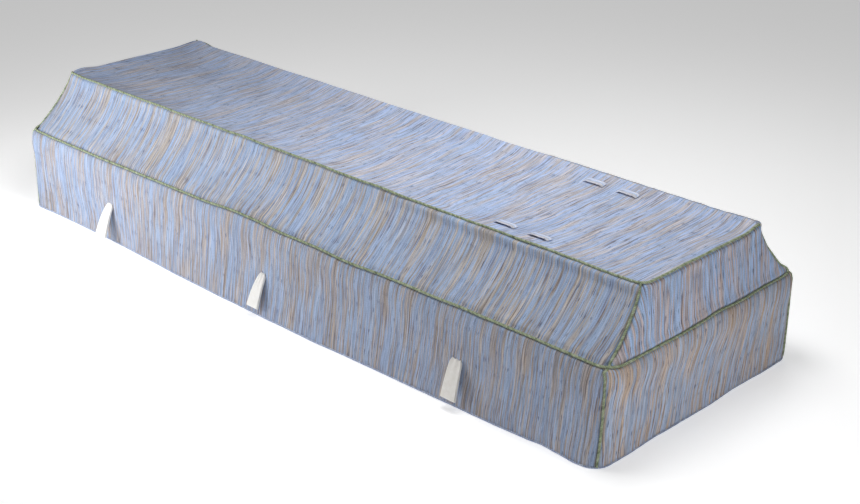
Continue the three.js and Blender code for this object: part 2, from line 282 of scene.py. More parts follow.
class Columns:
    """Where the columns of a shell stand: round its corner arcs and along its panels."""

    def __init__(self, arc: int = 24, side: int = 330, end: int = 130, ease: float = 0.55) -> None:
        """Spaces the columns, closer together near the corners.

        Args:
            arc: Columns round one corner.
            side: Columns along a long side.
            end: Columns along an end.
            ease: How much closer together they stand near the corners.
        """
        number, on_arc, share = [], [], []
        for corner in range(4):
            count = side if corner % 2 == 0 else end
            number += [corner] * (arc + count)
            on_arc += [True] * arc + [False] * count
            share += [*(np.arange(arc) / arc), *crowded(np.arange(count) / count, ease)]
        self.number = np.array(number)
        self.on_arc = np.array(on_arc)
        self.share = np.array(share)
        self.count = len(number)
        self.before = (self.number + 3) % 4
        low_half = self.on_arc & (self.share < MID_ARC - 1e-9)
        self.panel = np.where(low_half, self.before, self.number)

    def arc_share(self, section: Section) -> Array:
        """How far round its arc each column is, with the middle one on the seam.

        Args:
            section: The level.

        Returns:
            A share for each column.
        """
        seam = seam_share(self.number, section.seam)
        low = self.share / MID_ARC * seam
        high = seam + (self.share - MID_ARC) / MID_ARC * (1 - seam)
        return np.where(self.share < MID_ARC, low, high)

    def ring(self, section: Section) -> tuple[Array, Array, Array]:
        """The outline of a section.

        Args:
            section: The level.

        Returns:
            x and y of each column, and the angle that it faces.
        """
        half = section.length / 2, section.width / 2
        corner = min(section.corner, *half)
        face = (self.number + 1) * QUARTER
        facing = np.where(self.on_arc, (self.number + self.arc_share(section)) * QUARTER, face)
        signs = np.array(CORNER_SIGNS, float)
        plan = []
        for axis, reach in enumerate((np.cos, np.sin)):
            centre, after = (
                signs[number % 4, axis] * (half[axis] - corner)
                for number in (self.number, self.number + 1)
            )
            start, end = centre + corner * reach(face), after + corner * reach(face)
            on_span = start + (end - start) * self.share
            plan.append(np.where(self.on_arc, centre + corner * reach(facing), on_span))
        return *BUILD.settle(*plan, section), facing

    def unrolled(self, section: Section) -> Array:
        """How far along its panel each column lies, measured on the cloth.

        Args:
            section: The level.

        Returns:
            Metres from the middle of the panel, growing with x or y.
        """
        arc_share = self.arc_share(section)
        corner = min(section.corner, section.width / 2)
        flat, flat_before = (half_span(number, section, corner) for number in (self.number, self.before))
        wrap = corner * QUARTER
        first_half = -(flat_before + wrap * arc_share)
        second_half = flat + wrap * (1 - arc_share)
        on_arc = np.where(self.share < MID_ARC, first_half, second_half)
        return np.where(self.on_arc, on_arc, flat * (1 - 2 * self.share))


# Meshes


@contextmanager
def edited(mesh: bpy.types.Mesh) -> Iterator[bmesh.types.BMesh]:
    """Opens a mesh for editing, and writes it back.

    Args:
        mesh: The mesh to edit.

    Returns:
        The open mesh, for as long as the edit lasts.
    """
    bm = bmesh.new()
    bm.from_mesh(mesh)
    yield bm
    bm.to_mesh(mesh)
    bm.free()


def places(mesh: bpy.types.Mesh) -> Array:
    """Where each vertex of a mesh is.

    Args:
        mesh: The mesh.

    Returns:
        Its x, y and z, by row.
    """
    flat = np.empty(len(mesh.vertices) * 3, np.float32)
    mesh.vertices.foreach_get("co", flat)
    return flat.reshape(-1, 3)


def gridded(name: str, columns: int, rows: int) -> tuple[bpy.types.Mesh, Array, Array]:
    """Makes a flat grid of quads.

    Args:
        name: The mesh's name.
        columns: Faces across.
        rows: Faces up.

    Returns:
        The mesh, and the column and the row that each vertex is in.
    """
    mesh = bpy.data.meshes.new(name)
    with edited(mesh) as bm:
        bmesh.ops.create_grid(bm, x_segments=columns, y_segments=rows, size=1.0)
    share = (places(mesh) + 1) / 2
    column = np.rint(share[:, 0] * columns).astype(int)
    row = np.rint(share[:, 1] * rows).astype(int)
    return mesh, column, row


def move_to(mesh: bpy.types.Mesh, x: Array, y: Array, z: Array) -> None:
    """Moves each vertex of a mesh to its place."""
    mesh.vertices.foreach_set("co", np.stack([x, y, z], 1).astype(np.float32).ravel())
    mesh.update()


def loop_vertices(mesh: bpy.types.Mesh) -> Array:
    """The four vertices of each face of a grid.

    Args:
        mesh: The mesh.

    Returns:
        The vertices, by row.
    """
    index = np.empty(len(mesh.loops), np.int32)
    mesh.loops.foreach_get("vertex_index", index)
    return index.reshape(-1, 4)


def set_map(mesh: bpy.types.Mesh, u: Array, v: Array) -> None:
    """Writes the cloth map, in metres, corner by corner."""
    layer = mesh.uv_layers.new(name=CLOTH_MAP)
    layer.uv.foreach_set("vector", np.stack([u.ravel(), v.ravel()], 1).astype(np.float32).ravel())


def sewn_up(mesh: bpy.types.Mesh, gap: float = 2e-5) -> None:
    """Joins the edges of a mapped grid that meet, and closes what is left open.

    Args:
        mesh: The mesh.
        gap: How close edges are that meet.
    """
    with edited(mesh) as bm:
        bmesh.ops.remove_doubles(bm, verts=bm.verts, dist=gap)
        bmesh.ops.dissolve_degenerate(bm, edges=bm.edges, dist=gap / 2)
        open_edges = [edge for edge in bm.edges if edge.is_boundary]
        if open_edges:
            bmesh.ops.holes_fill(bm, edges=open_edges, sides=0)
        for face in bm.faces:
            face.smooth = True


def facing_out(mesh: bpy.types.Mesh) -> None:
    """Turns every face of a closed mesh outward."""
    with edited(mesh) as bm:
        bmesh.ops.recalc_face_normals(bm, faces=bm.faces)


def placed(
    mesh: bpy.types.Mesh, finishes: Sequence[bpy.types.Material], slot: str, *nodes: str
) -> bpy.types.Object:
    """Puts a finished mesh in the scene as a piece.

    Args:
        mesh: The mesh, in place.
        finishes: Its materials, in the order of their slots on the mesh.
        slot: The material slot's name; not used.
        nodes: The solids that it stands for.

    Returns:
        The piece.
    """
    for finish in finishes:
        mesh.materials.append(finish)
    piece = bpy.data.objects.new(mesh.name, mesh)
    bpy.context.scene.collection.objects.link(piece)
    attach(piece, BODY)
    if nodes:
        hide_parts(*nodes)
    return piece


def report(piece: bpy.types.Object) -> None:
    """Logs how many triangles a piece has, and whether every edge of it has two faces.

    Args:
        piece: The piece.
    """
    mesh = piece.data
    triangles = sum(len(face.vertices) - 2 for face in mesh.polygons)
    edges = np.empty(len(mesh.loops), np.int32)
    mesh.loops.foreach_get("edge_index", edges)
    closed = np.all(np.bincount(edges, minlength=len(mesh.edges)) == 2)
    LOG.info("%s: %d triangles, %s", piece.name, triangles, "closed" if closed else "OPEN")


# Materials


class Sketch:
    """Adds nodes to a material or a group, and joins them."""

    def __init__(self, tree: bpy.types.NodeTree) -> None:
        """Takes the tree that the nodes go in."""
        self.tree = tree

    def node(self, kind: str, **settings: object) -> bpy.types.Node:
        """Adds a node and sets its properties.

        Args:
            kind: The node's type.
            settings: Its properties.

        Returns:
            The node.
        """
        made = self.tree.nodes.new(kind)
        for key, value in settings.items():
            setattr(made, key, value)
        return made

    def feed(self, socket: Socket, value: object) -> None:
        """Joins a socket to another, or sets it to a value.

        Args:
            socket: The input.
            value: A socket, a number or a colour.
        """
        if isinstance(value, bpy.types.NodeSocket):
            self.tree.links.new(value, socket)
        else:
            socket.default_value = value

    def fill(self, node: bpy.types.Node, values: dict[str, object]) -> None:
        """Feeds the inputs of a node by name."""
        for name, value in values.items():
            self.feed(node.inputs[name], value)

    def math(self, operation: str, *values: object) -> Socket:
        """Adds a Math node.

        Args:
            operation: Its operation.
            values: Its inputs, sockets or numbers.

        Returns:
            The result.
        """
        made = self.node("ShaderNodeMath", operation=operation)
        for socket, value in zip(made.inputs, values):
            self.feed(socket, value)
        return made.outputs[0]

    def times(self, first: object, second: object) -> Socket:
        """Multiplies two values."""
        return self.math("MULTIPLY", first, second)

    def plus(self, first: object, second: object) -> Socket:
        """Adds two values."""
        return self.math("ADD", first, second)

    def less(self, first: object, second: object) -> Socket:
        """Takes the second value from the first."""
        return self.math("SUBTRACT", first, second)

    def vector(self, x: object = 0.0, y: object = 0.0, z: object = 0.0) -> Socket:
        """Puts three numbers together.

        Args:
            x: The first number or socket.
            y: The second.
            z: The third.

        Returns:
            The vector.
        """
        made = self.node("ShaderNodeCombineXYZ")
        for socket, value in zip(made.inputs, (x, y, z)):
            self.feed(socket, value)
        return made.outputs[0]

    def split(self, vector: Socket) -> tuple[Socket, ...]:
        """Takes a vector apart.

        Args:
            vector: The vector.

        Returns:
            Its three numbers.
        """
        made = self.node("ShaderNodeSeparateXYZ")
        self.feed(made.inputs[0], vector)
        return tuple(made.outputs)

    def noise(
        self, place: object, scale: float = 1.0, detail: float = 2.0, roughness: float = 0.5
    ) -> Socket:
        """Adds a Noise Texture.

        Args:
            place: Where it is read.
            scale: How fine it is.
            detail: How many finer layers it has.
            roughness: How strong those are.

        Returns:
            Its value, from 0 to 1.
        """
        made = self.node("ShaderNodeTexNoise", noise_dimensions="3D")
        self.fill(made, {"Vector": place, "Scale": scale, "Detail": detail, "Roughness": roughness})
        return made.outputs["Fac"]

    def fit(
        self,
        value: object,
        low: object,
        high: object,
        to_low: object = 0.0,
        to_high: object = 1.0,
        smooth: bool = False,
    ) -> Socket:
        """Moves a value from one range to another, and keeps it there.

        Args:
            value: A socket or a number.
            low: Where its range begins.
            high: Where its range ends.
            to_low: What low becomes.
            to_high: What high becomes.
            smooth: Whether it eases in and out.

        Returns:
            The moved value.
        """
        kind = "SMOOTHSTEP" if smooth else "LINEAR"
        made = self.node("ShaderNodeMapRange", interpolation_type=kind, clamp=True)
        self.fill(
            made,
            {"Value": value, "From Min": low, "From Max": high, "To Min": to_low, "To Max": to_high},
        )
        return made.outputs["Result"]

    def mix(self, share: object, first: object, second: object, blend: str = "MIX") -> Socket:
        """Mixes two colours.

        Args:
            share: How much of the second there is.
            first: A colour or socket.
            second: A colour or socket.
            blend: The way that they mix.

        Returns:
            The mixed colour.
        """
        made = self.node("ShaderNodeMix", data_type="RGBA", blend_type=blend)
        made.clamp_factor = True
        self.fill(made, {"Factor": share, "A": first, "B": second})
        return made.outputs["Result"]

    def shaded(self, colour: object, shade: Socket) -> Socket:
        """Multiplies a colour by a grey."""
        return self.mix(1.0, colour, self.vector(shade, shade, shade), "MULTIPLY")

    def ramp(self, value: object, stops: Sequence[tuple[float, tuple[float, ...]]]) -> Socket:
        """Turns a value into a colour through a ramp.

        Args:
            value: A value from 0 to 1.
            stops: Places on the ramp, with colours.

        Returns:
            The colour.
        """
        made = self.node("ShaderNodeValToRGB")
        self.feed(made.inputs[0], value)
        elements = made.color_ramp.elements
        while len(elements) < len(stops):
            elements.new(0.5)
        for element, (position, colour) in zip(elements, stops):
            element.position = position
            element.color = colour
        return made.outputs["Color"]


def tint(code: str) -> tuple[float, float, float, float]:
    """A colour from its sRGB code, as light.

    Args:
        code: The code, such as #c2cbb0.

    Returns:
        The colour, with its alpha.
    """
    parts = [int(code[i : i + 2], 16) / 255 for i in (1, 3, 5)]
    light = [p / 12.92 if p <= 0.04045 else ((p + 0.055) / 1.055) ** 2.4 for p in parts]
    return (*light, 1.0)


@dataclass(frozen=True)
class Grain:
    """Noise that is fine across the cloth and long down it.

    Fine and long are cells to a metre, and the place keeps one grain apart from the others.
    """

    fine: float
    long: float
    place: float
    detail: float = 0.0
    roughness: float = 0.5


@dataclass(frozen=True)
class LeafStreaks:
    """The streaks of the woven leaf cloth, one shared group for every cloth panel."""

    name: str = "Leaf streaks"
    sway: Grain = Grain(5.0, 8.0, 0.0, 1.0)
    shiver: Grain = Grain(45.0, 28.0, 2.9, 1.0)
    shiver_width: float = 0.0016
    sway_width: float = 4.0
    crowd: Grain = Grain(24.0, 3.0, 5.3, 1.5, 0.7)
    crowding: float = 0.28
    wide_leaf: Grain = Grain(135.0, 4.5, 17.9, 1.2, 0.7)
    thin_leaf: Grain = Grain(300.0, 7.0, 19.3, 1.0, 0.7)
    wide_edge: Band = (0.01, 0.10)
    thin_edge: Band = (0.05, 0.13)
    wide_strength: float = 0.80
    dye: Grain = Grain(90.0, 3.0, 7.7, 2.0, 0.8)
    bark: Grain = Grain(210.0, 6.0, 61.0, 1.5, 0.8)
    sheen: Grain = Grain(190.0, 10.0, 13.7, 2.0, 0.95)
    brown: Grain = Grain(280.0, 9.0, 23.0, 1.0)
    brown_tint: str = "#746668"
    cream: Grain = Grain(300.0, 7.0, 31.0, 1.0)
    cream_tint: str = "#d6d0ce"
    cream_share: float = 0.8
    slub: Grain = Grain(380.0, 40.0, 41.0)
    slub_tint: str = "#3f4868"
    rib_pitch: float = 0.0030
    rib_bend: Grain = Grain(22.0, 9.0, 47.0, 1.0)
    rib_bend_by: float = 22.0
    rib_shown: Grain = Grain(40.0, 24.0, 53.0, 1.0)
    rib_shade: float = 0.06
    speck_scale: float = 480.0
    speck_shade: float = 0.60

    def build(self) -> bpy.types.NodeTree:
        """Makes the group, which reads the cloth map and puts out a colour and a height.

        Returns:
            The group.
        """
        group = bpy.data.node_groups.new(self.name, "ShaderNodeTree")
        for label, kind, default in (
            (CLOTH_MAP, "Vector", None),
            ("Seed", "Float", 0.0),
            ("Blue", "Color", tint("#94a8ce")),
            ("Tan", "Color", tint("#aca3a0")),
            ("Lines", "Float", 0.5),
            ("Fineness", "Float", 1.0),
            ("Wander", "Float", 0.004),
        ):
            socket = group.interface.new_socket(
                label, in_out="INPUT", socket_type=f"NodeSocket{kind}"
            )
            if default is not None:
                socket.default_value = default
        for label, kind in (("Color", "Color"), ("Height", "Float")):
            group.interface.new_socket(label, in_out="OUTPUT", socket_type=f"NodeSocket{kind}")
        s = Sketch(group)
        self.draw(s, s.node("NodeGroupInput").outputs, s.node("NodeGroupOutput"))
        return group

    def draw(self, s: Sketch, given: bpy.types.NodeOutputs, sink: bpy.types.Node) -> None:
        """Draws the streaks.

        Args:
            s: The sketch of the group.
            given: What the group is given.
            sink: The node that takes its colour and height.
        """
        u, v, _ = s.split(given[CLOTH_MAP])
        seed, lines = given["Seed"], given["Lines"]

        def grain(across_u: Socket, kind: Grain) -> Socket:
            """Reads a grain at a place across the cloth.

            Args:
                across_u: The place across.
                kind: The grain.

            Returns:
                Its value, from 0 to 1.
            """
            place = s.vector(
                s.times(across_u, kind.fine), s.times(v, kind.long), s.plus(seed, kind.place)
            )
            return s.noise(place, detail=kind.detail, roughness=kind.roughness)

        sway = s.less(grain(u, self.sway), 0.5)
        shiver = s.less(grain(u, self.shiver), 0.5)
        drift = s.times(sway, s.times(given["Wander"], self.sway_width))
        across = s.plus(s.plus(u, drift), s.times(shiver, self.shiver_width))
        across = s.times(across, given["Fineness"])

        crowd = s.less(grain(across, self.crowd), 0.5)
        cut = s.less(0.5, s.times(crowd, self.crowding))
        wide, thin = (
            s.fit(grain(across, kind), s.plus(cut, edge[0]), s.plus(cut, edge[1]), smooth=True)
            for kind, edge in ((self.wide_leaf, self.wide_edge), (self.thin_leaf, self.thin_edge))
        )
        leaf = s.math("MAXIMUM", s.times(wide, self.wide_strength), thin)
        dye = s.fit(grain(across, self.dye), 0.35, 0.65, 0.93, 1.07)
        dyed = s.vector(dye, dye, s.fit(dye, 0.9, 1.1, 0.94, 1.06))
        ground = s.mix(1.0, given["Blue"], dyed, "MULTIPLY")
        straw = s.shaded(given["Tan"], s.fit(grain(across, self.bark), 0.34, 0.66, 0.66, 1.34))
        colour = s.mix(s.less(1.0, leaf), straw, ground)
        sheen = s.fit(grain(across, self.sheen), 0.36, 0.64, 0.80, 1.20)
        colour = s.shaded(colour, sheen)

        brown = s.fit(grain(across, self.brown), 0.60, 0.70, smooth=True)
        colour = s.mix(s.times(brown, lines), colour, tint(self.brown_tint))
        cream = s.fit(grain(across, self.cream), 0.63, 0.72, smooth=True)
        cream = s.times(cream, s.times(lines, self.cream_share))
        colour = s.mix(cream, colour, tint(self.cream_tint))
        slub = s.fit(grain(across, self.slub), 0.70, 0.78)
        colour = s.mix(s.times(slub, lines), colour, tint(self.slub_tint))

        bend = s.times(grain(u, self.rib_bend), self.rib_bend_by)
        rib = s.math("SINE", s.plus(s.times(v, FULL_TURN / self.rib_pitch), bend))
        rib = s.times(rib, s.fit(grain(u, self.rib_shown), 0.36, 0.64))
        speck = s.less(s.noise(s.vector(u, v, seed), self.speck_scale, 1.0), 0.5)
        weave = s.plus(1.0, s.times(rib, self.rib_shade))
        colour = s.shaded(colour, s.plus(weave, s.times(speck, self.speck_shade)))

        height = s.times(sheen, 0.5)
        for raised, by in ((leaf, 0.12), (rib, 0.10), (slub, 0.35)):
            height = s.plus(height, s.times(raised, by))
        s.fill(sink, {"Color": colour, "Height": height})


@dataclass(frozen=True)
class Surface:
    """How deep and strong the bump of a finish is, and how rough and glossy it is."""

    relief: float
    strength: float
    roughness: float
    gloss: float


@dataclass(frozen=True)
class Finish:
    """A finish whose pattern follows the cloth map."""

    surface: ClassVar[Surface]
    name: str

    def pattern(self, s: Sketch, cloth: Socket) -> tuple[Socket, Socket]:
        """The colour and the height of the finish on the cloth map."""
        raise NotImplementedError

    def make(self) -> bpy.types.Material:
        """Builds the material.

        Returns:
            The material.
        """
        material = bpy.data.materials.new(self.name)
        material.use_nodes = True
        s = Sketch(material.node_tree)
        cloth = s.node("ShaderNodeUVMap", uv_map=CLOTH_MAP).outputs["UV"]
        colour, height = self.pattern(s, cloth)
        bump, surface = s.node("ShaderNodeBump"), self.surface
        s.fill(
            bump, {"Strength": surface.strength, "Distance": surface.relief, "Height": height}
        )
        shader = material.node_tree.nodes["Principled BSDF"]
        s.fill(shader, {"Base Color": colour, "Normal": bump.outputs["Normal"]})
        shader.inputs["Roughness"].default_value = surface.roughness
        shader.inputs["Specular IOR Level"].default_value = surface.gloss
        return material


@dataclass(frozen=True)
class LeafCloth(Finish):
    """The finish of one panel of woven banana-leaf cloth."""

    streaks: bpy.types.NodeTree
    seed: float
    blue: str
    tan: str
    lines: float
    wander: float
    fineness: float = 1.0
    surface: ClassVar[Surface] = Surface(0.0006, 0.6, 0.88, 0.25)

    def pattern(self, s: Sketch, cloth: Socket) -> tuple[Socket, Socket]:
        """The streaks, in this panel's colours.

        Args:
            s: The sketch of its nodes.
            cloth: The cloth map.

        Returns:
            The colour and the height.
        """
        weave = s.node("ShaderNodeGroup", node_tree=self.streaks)
        s.fill(weave, {CLOTH_MAP: cloth, "Seed": self.seed, "Lines": self.lines})
        s.fill(weave, {"Blue": tint(self.blue), "Tan": tint(self.tan)})
        s.fill(weave, {"Wander": self.wander, "Fineness": self.fineness})
        return weave.outputs["Color"], weave.outputs["Height"]


@dataclass(frozen=True)
class PlainCloth(Finish):
    """A plain cotton: the lining and the webbing."""

    colour: str
    second: str
    pitch: float = 0.0012
    surface: ClassVar[Surface] = Surface(0.0003, 0.5, 0.9, 0.2)

    def pattern(self, s: Sketch, cloth: Socket) -> tuple[Socket, Socket]:
        """A plain weave with a little unevenness.

        Args:
            s: The sketch of its nodes.
            cloth: The cloth map.

        Returns:
            The colour and the height.
        """
        warp, weft = (
            s.math("SINE", s.times(way, FULL_TURN / self.pitch)) for way in s.split(cloth)[:2]
        )
        weave = s.times(warp, weft)
        cloudy = s.fit(s.noise(cloth, 60.0, 4.0, 0.6), 0.3, 0.7)
        colour = s.mix(cloudy, tint(self.colour), tint(self.second))
        return s.shaded(colour, s.fit(weave, -1.0, 1.0, 0.94, 1.0)), weave


@dataclass(frozen=True)
class CordYarn(Finish):
    """The finish of a twisted cord: strands with fibres, and painted shade in the valleys between them.
    """

    light: str
    middle: str
    dark: str
    surface: ClassVar[Surface] = Surface(0.0004, 0.6, 0.8, 0.3)

    def pattern(self, s: Sketch, cloth: Socket) -> tuple[Socket, Socket]:
        """Fibres along the cord, worn in places, with painted shade in the strand valleys, from the map
        along and round it.

        Args:
            s: The sketch of its nodes.
            cloth: The cloth map.

        Returns:
            The colour and the height.
        """
        along, strand, _ = s.split(cloth)
        # Painted shade: 1 on each strand's crown, falling to 0 in the valleys between strands.
        valley_shade = s.math("SINE", s.times(s.math("FRACT", strand), math.pi))
        fibre = s.noise(s.vector(s.times(along, 220.0), s.times(strand, 9.0)), 1.0, 3.0)
        which = s.math("FRACT", s.times(s.math("FLOOR", strand), 0.333))
        worn = s.less(s.noise(s.vector(s.times(along, 70.0), 3.0), 1.0, 2.0), 0.4)
        tone = s.plus(s.plus(s.times(fibre, 0.45), s.times(which, 0.25)), s.times(worn, 0.9))
        colours = ((0.0, self.dark), (0.45, self.middle), (1.0, self.light))
        colour = s.ramp(s.fit(tone, 0.15, 0.75), [(place, tint(code)) for place, code in colours])
        # The colour is darkened towards the valleys: painted shade where the strands meet.
        return s.shaded(colour, s.fit(valley_shade, 0.0, 0.55, 0.35, 1.0, smooth=True)), fibre


class Wardrobe:
    """Every finish, made once."""

    def __init__(self) -> None:
        """Makes the materials."""
        streaks = LeafStreaks().build()

        def leaf(name: str, *settings: object) -> bpy.types.Material:
            """A panel's leaf cloth: its seed, its blue, its tan, lines, wander and fineness."""
            return LeafCloth(name, streaks, *settings).make()

        # The five panels are one cloth. Their blues and tans differ partly as the cloth's own tone and
        # partly as painted light and shade: lighter on the top and the end slope, darker on the side
        # slopes and the box's long sides.
        self.top = leaf("Top cloth", 11.0, "#a9bbdc", "#bdb6b7", 0.80, 0.005, 1.25)
        self.side_slope = leaf("Side slope cloth", 27.0, "#97a9c7", "#aca298", 0.75, 0.002, 1.15)
        self.end_slope = leaf("End slope cloth", 43.0, "#a7bee2", "#bba9a2", 0.80, 0.005)
        self.box_side = leaf("Box side cloth", 61.0, "#98a8c4", "#a3978e", 0.75, 0.002, 1.35)
        self.box_end = leaf("Box end cloth", 83.0, "#a5b3cb", "#b8a28e", 0.80, 0.0055)
        # The loops are the top's cloth with fewer tan lines, made lighter: painted light on their raised
        # faces.
        self.loop = leaf("Loop cloth", 97.0, "#c0cde6", "#cac6c8", 0.40, 0.002)
        self.lining = PlainCloth("Lining cotton", "#e6e0d2", "#dcd5c4").make()
        self.webbing = PlainCloth("White webbing", "#fbfaf8", "#f5f3ee").make()
        # A touch darker and warmer than the white webbing: partly the webbing's own tint, partly painted
        # shade for handle 3, which hangs in less light.
        self.cream_shaded_webbing = PlainCloth("Cream webbing", "#fbf9f5", "#efebe4").make()
        self.piping = CordYarn("Green cord", "#c2cbb0", "#95a182", "#56614b").make()
        self.hem = CordYarn("Blue hem yarn", "#dde2ec", "#b3bed6", "#8592b4").make()


# Slack of the cloth


@dataclass
class Slack:
    """How hand-sewn cloth sags and wavers, the same for every piece at one place.

    Each bump is its middle along the coffin or across it, its width and how far it moves the
    cloth. Each hem is how far out its foot lies at places along it. Each band is where a
    region begins and where it is whole. Each waver is cells to a metre and two offsets.
    """

    near_eave: tuple[Bump, ...] = (
        (-0.10, 0.10, 0.0060), (0.26, 0.07, -0.0040), (-0.70, 0.22, -0.0030), (0.62, 0.10, 0.0015),
    )
    near_top: tuple[Bump, ...] = (
        (0.48, 0.14, -0.0030), (0.86, 0.05, -0.0030), (-0.30, 0.20, 0.0010),
    )
    narrow_eave: tuple[Bump, ...] = ((0.03, 0.05, 0.0040), (-0.07, 0.05, -0.0020))
    wide_top: tuple[Bump, ...] = ((-0.175, 0.035, 0.0060), (0.220, 0.030, 0.0028))
    far_top: float = 0.0042
    far_top_corner: Bump = (0.95, 0.08, 0.0022)
    far_top_aside: float = 0.0080
    hem: tuple[tuple[float, float], ...] = (
        (-0.97, 0.0), (-0.921, -0.001), (-0.855, -0.006), (-0.60, -0.007), (-0.34, -0.001),
        (0.0, 0.003), (0.175, 0.005), (0.30, 0.0013), (0.50, 0.003), (0.65, 0.004),
        (0.80, 0.0016), (0.834, -0.003), (0.919, 0.006), (0.965, 0.001),
    )
    end_hem: tuple[tuple[float, float], ...] = (
        (-0.33, 0.0), (-0.24, 0.0012), (-0.15, -0.0015), (-0.05, 0.0012), (0.03, 0.0025),
        (0.12, -0.0020), (0.22, 0.0012), (0.33, 0.0),
    )
    foot_height: float = 0.05
    eave_spread: float = 0.045
    top_spread: float = 0.030
    side_band: Band = (0.12, 0.26)
    far_edge_band: Band = (0.13, 0.20)
    far_corner_band: Band = (0.12, 0.21)
    wide_band: Band = (0.88, 0.94)
    narrow_band: Band = (0.90, 0.96)
    wide_hollow: Bump = (0.15, 0.08, -0.0025)
    wide_hollow_band: Band = (0.93, 0.98)
    far_narrow_hollow: Bump = (0.20, 0.10, 0.0040)
    far_narrow_band: Band = (0.05, 0.26)
    waver: float = 0.0011
    waver_spread: float = 0.02
    waver_at_top: float = 0.8
    waver_at_foot: float = 0.9
    waver_up: Bump = (15, 3.3, 8.1)
    waver_out: Bump = (17, 21.7, 5.9)
    waver_side_band: Band = (0.15, 0.20)
    waver_end_band: Band = (0.92, 0.95)
    noise: SoftNoise = field(default_factory=lambda: SoftNoise(7))

    def settle(self, mesh: bpy.types.Mesh) -> None:
        """Lets a finished piece settle.

        Args:
            mesh: The mesh.
        """
        x, y, z = places(mesh).astype(float).T
        near, far = smoothstep(-y, *self.side_band), smoothstep(y, *self.side_band)
        at_wide, at_narrow = smoothstep(-x, *self.wide_band), smoothstep(x, *self.narrow_band)
        at_eave = bump_at(z, BUILD.eave_height, self.eave_spread)
        at_top = bump_at(z, BUILD.top_height, self.top_spread)
        foot = bump_at(z, 0.0, self.foot_height)

        lift = near * at_eave * bumps(x, self.near_eave)
        lift += near * at_top * bumps(x, self.near_top)
        rolled = smoothstep(y, *self.far_edge_band) * (self.far_top + bumps(x, [self.far_top_corner]))
        lift += at_top * (rolled + at_wide * bumps(y, self.wide_top))
        lift += at_narrow * at_eave * bumps(y, self.narrow_eave)

        hem = np.array(self.hem).T
        aside = far * foot * np.interp(-x, *hem) - near * foot * np.interp(x, *hem)
        aside += self.far_top_aside * at_top * at_wide * smoothstep(y, *self.far_corner_band)

        ahead = smoothstep(-x, *self.wide_hollow_band) * bumps(z, [self.wide_hollow])
        drawn_in = at_narrow * smoothstep(y, *self.far_narrow_band)
        ahead -= drawn_in * bumps(z, [self.far_narrow_hollow])
        ahead += at_narrow * foot * np.interp(y, *np.array(self.end_hem).T)

        at_cords = bump_at(z, BUILD.eave_height, self.waver_spread)
        at_cords = np.maximum(at_cords, self.waver_at_top * at_top)
        at_cords = np.maximum(at_cords, self.waver_at_foot * foot)
        cells, over, on = self.waver_up
        lift += self.waver * self.noise(x * cells + over, y * cells + on) * at_cords * (1 - foot)
        cells, over, on = self.waver_out
        waver = self.waver * self.noise(x * cells + over, y * cells + on) * at_cords
        aside += waver * smoothstep(np.abs(y), *self.waver_side_band) * np.sign(y)
        ahead += waver * smoothstep(np.abs(x), *self.waver_end_band) * np.sign(x)
        move_to(mesh, x + ahead, y + aside, z + lift)


# Cloth shells


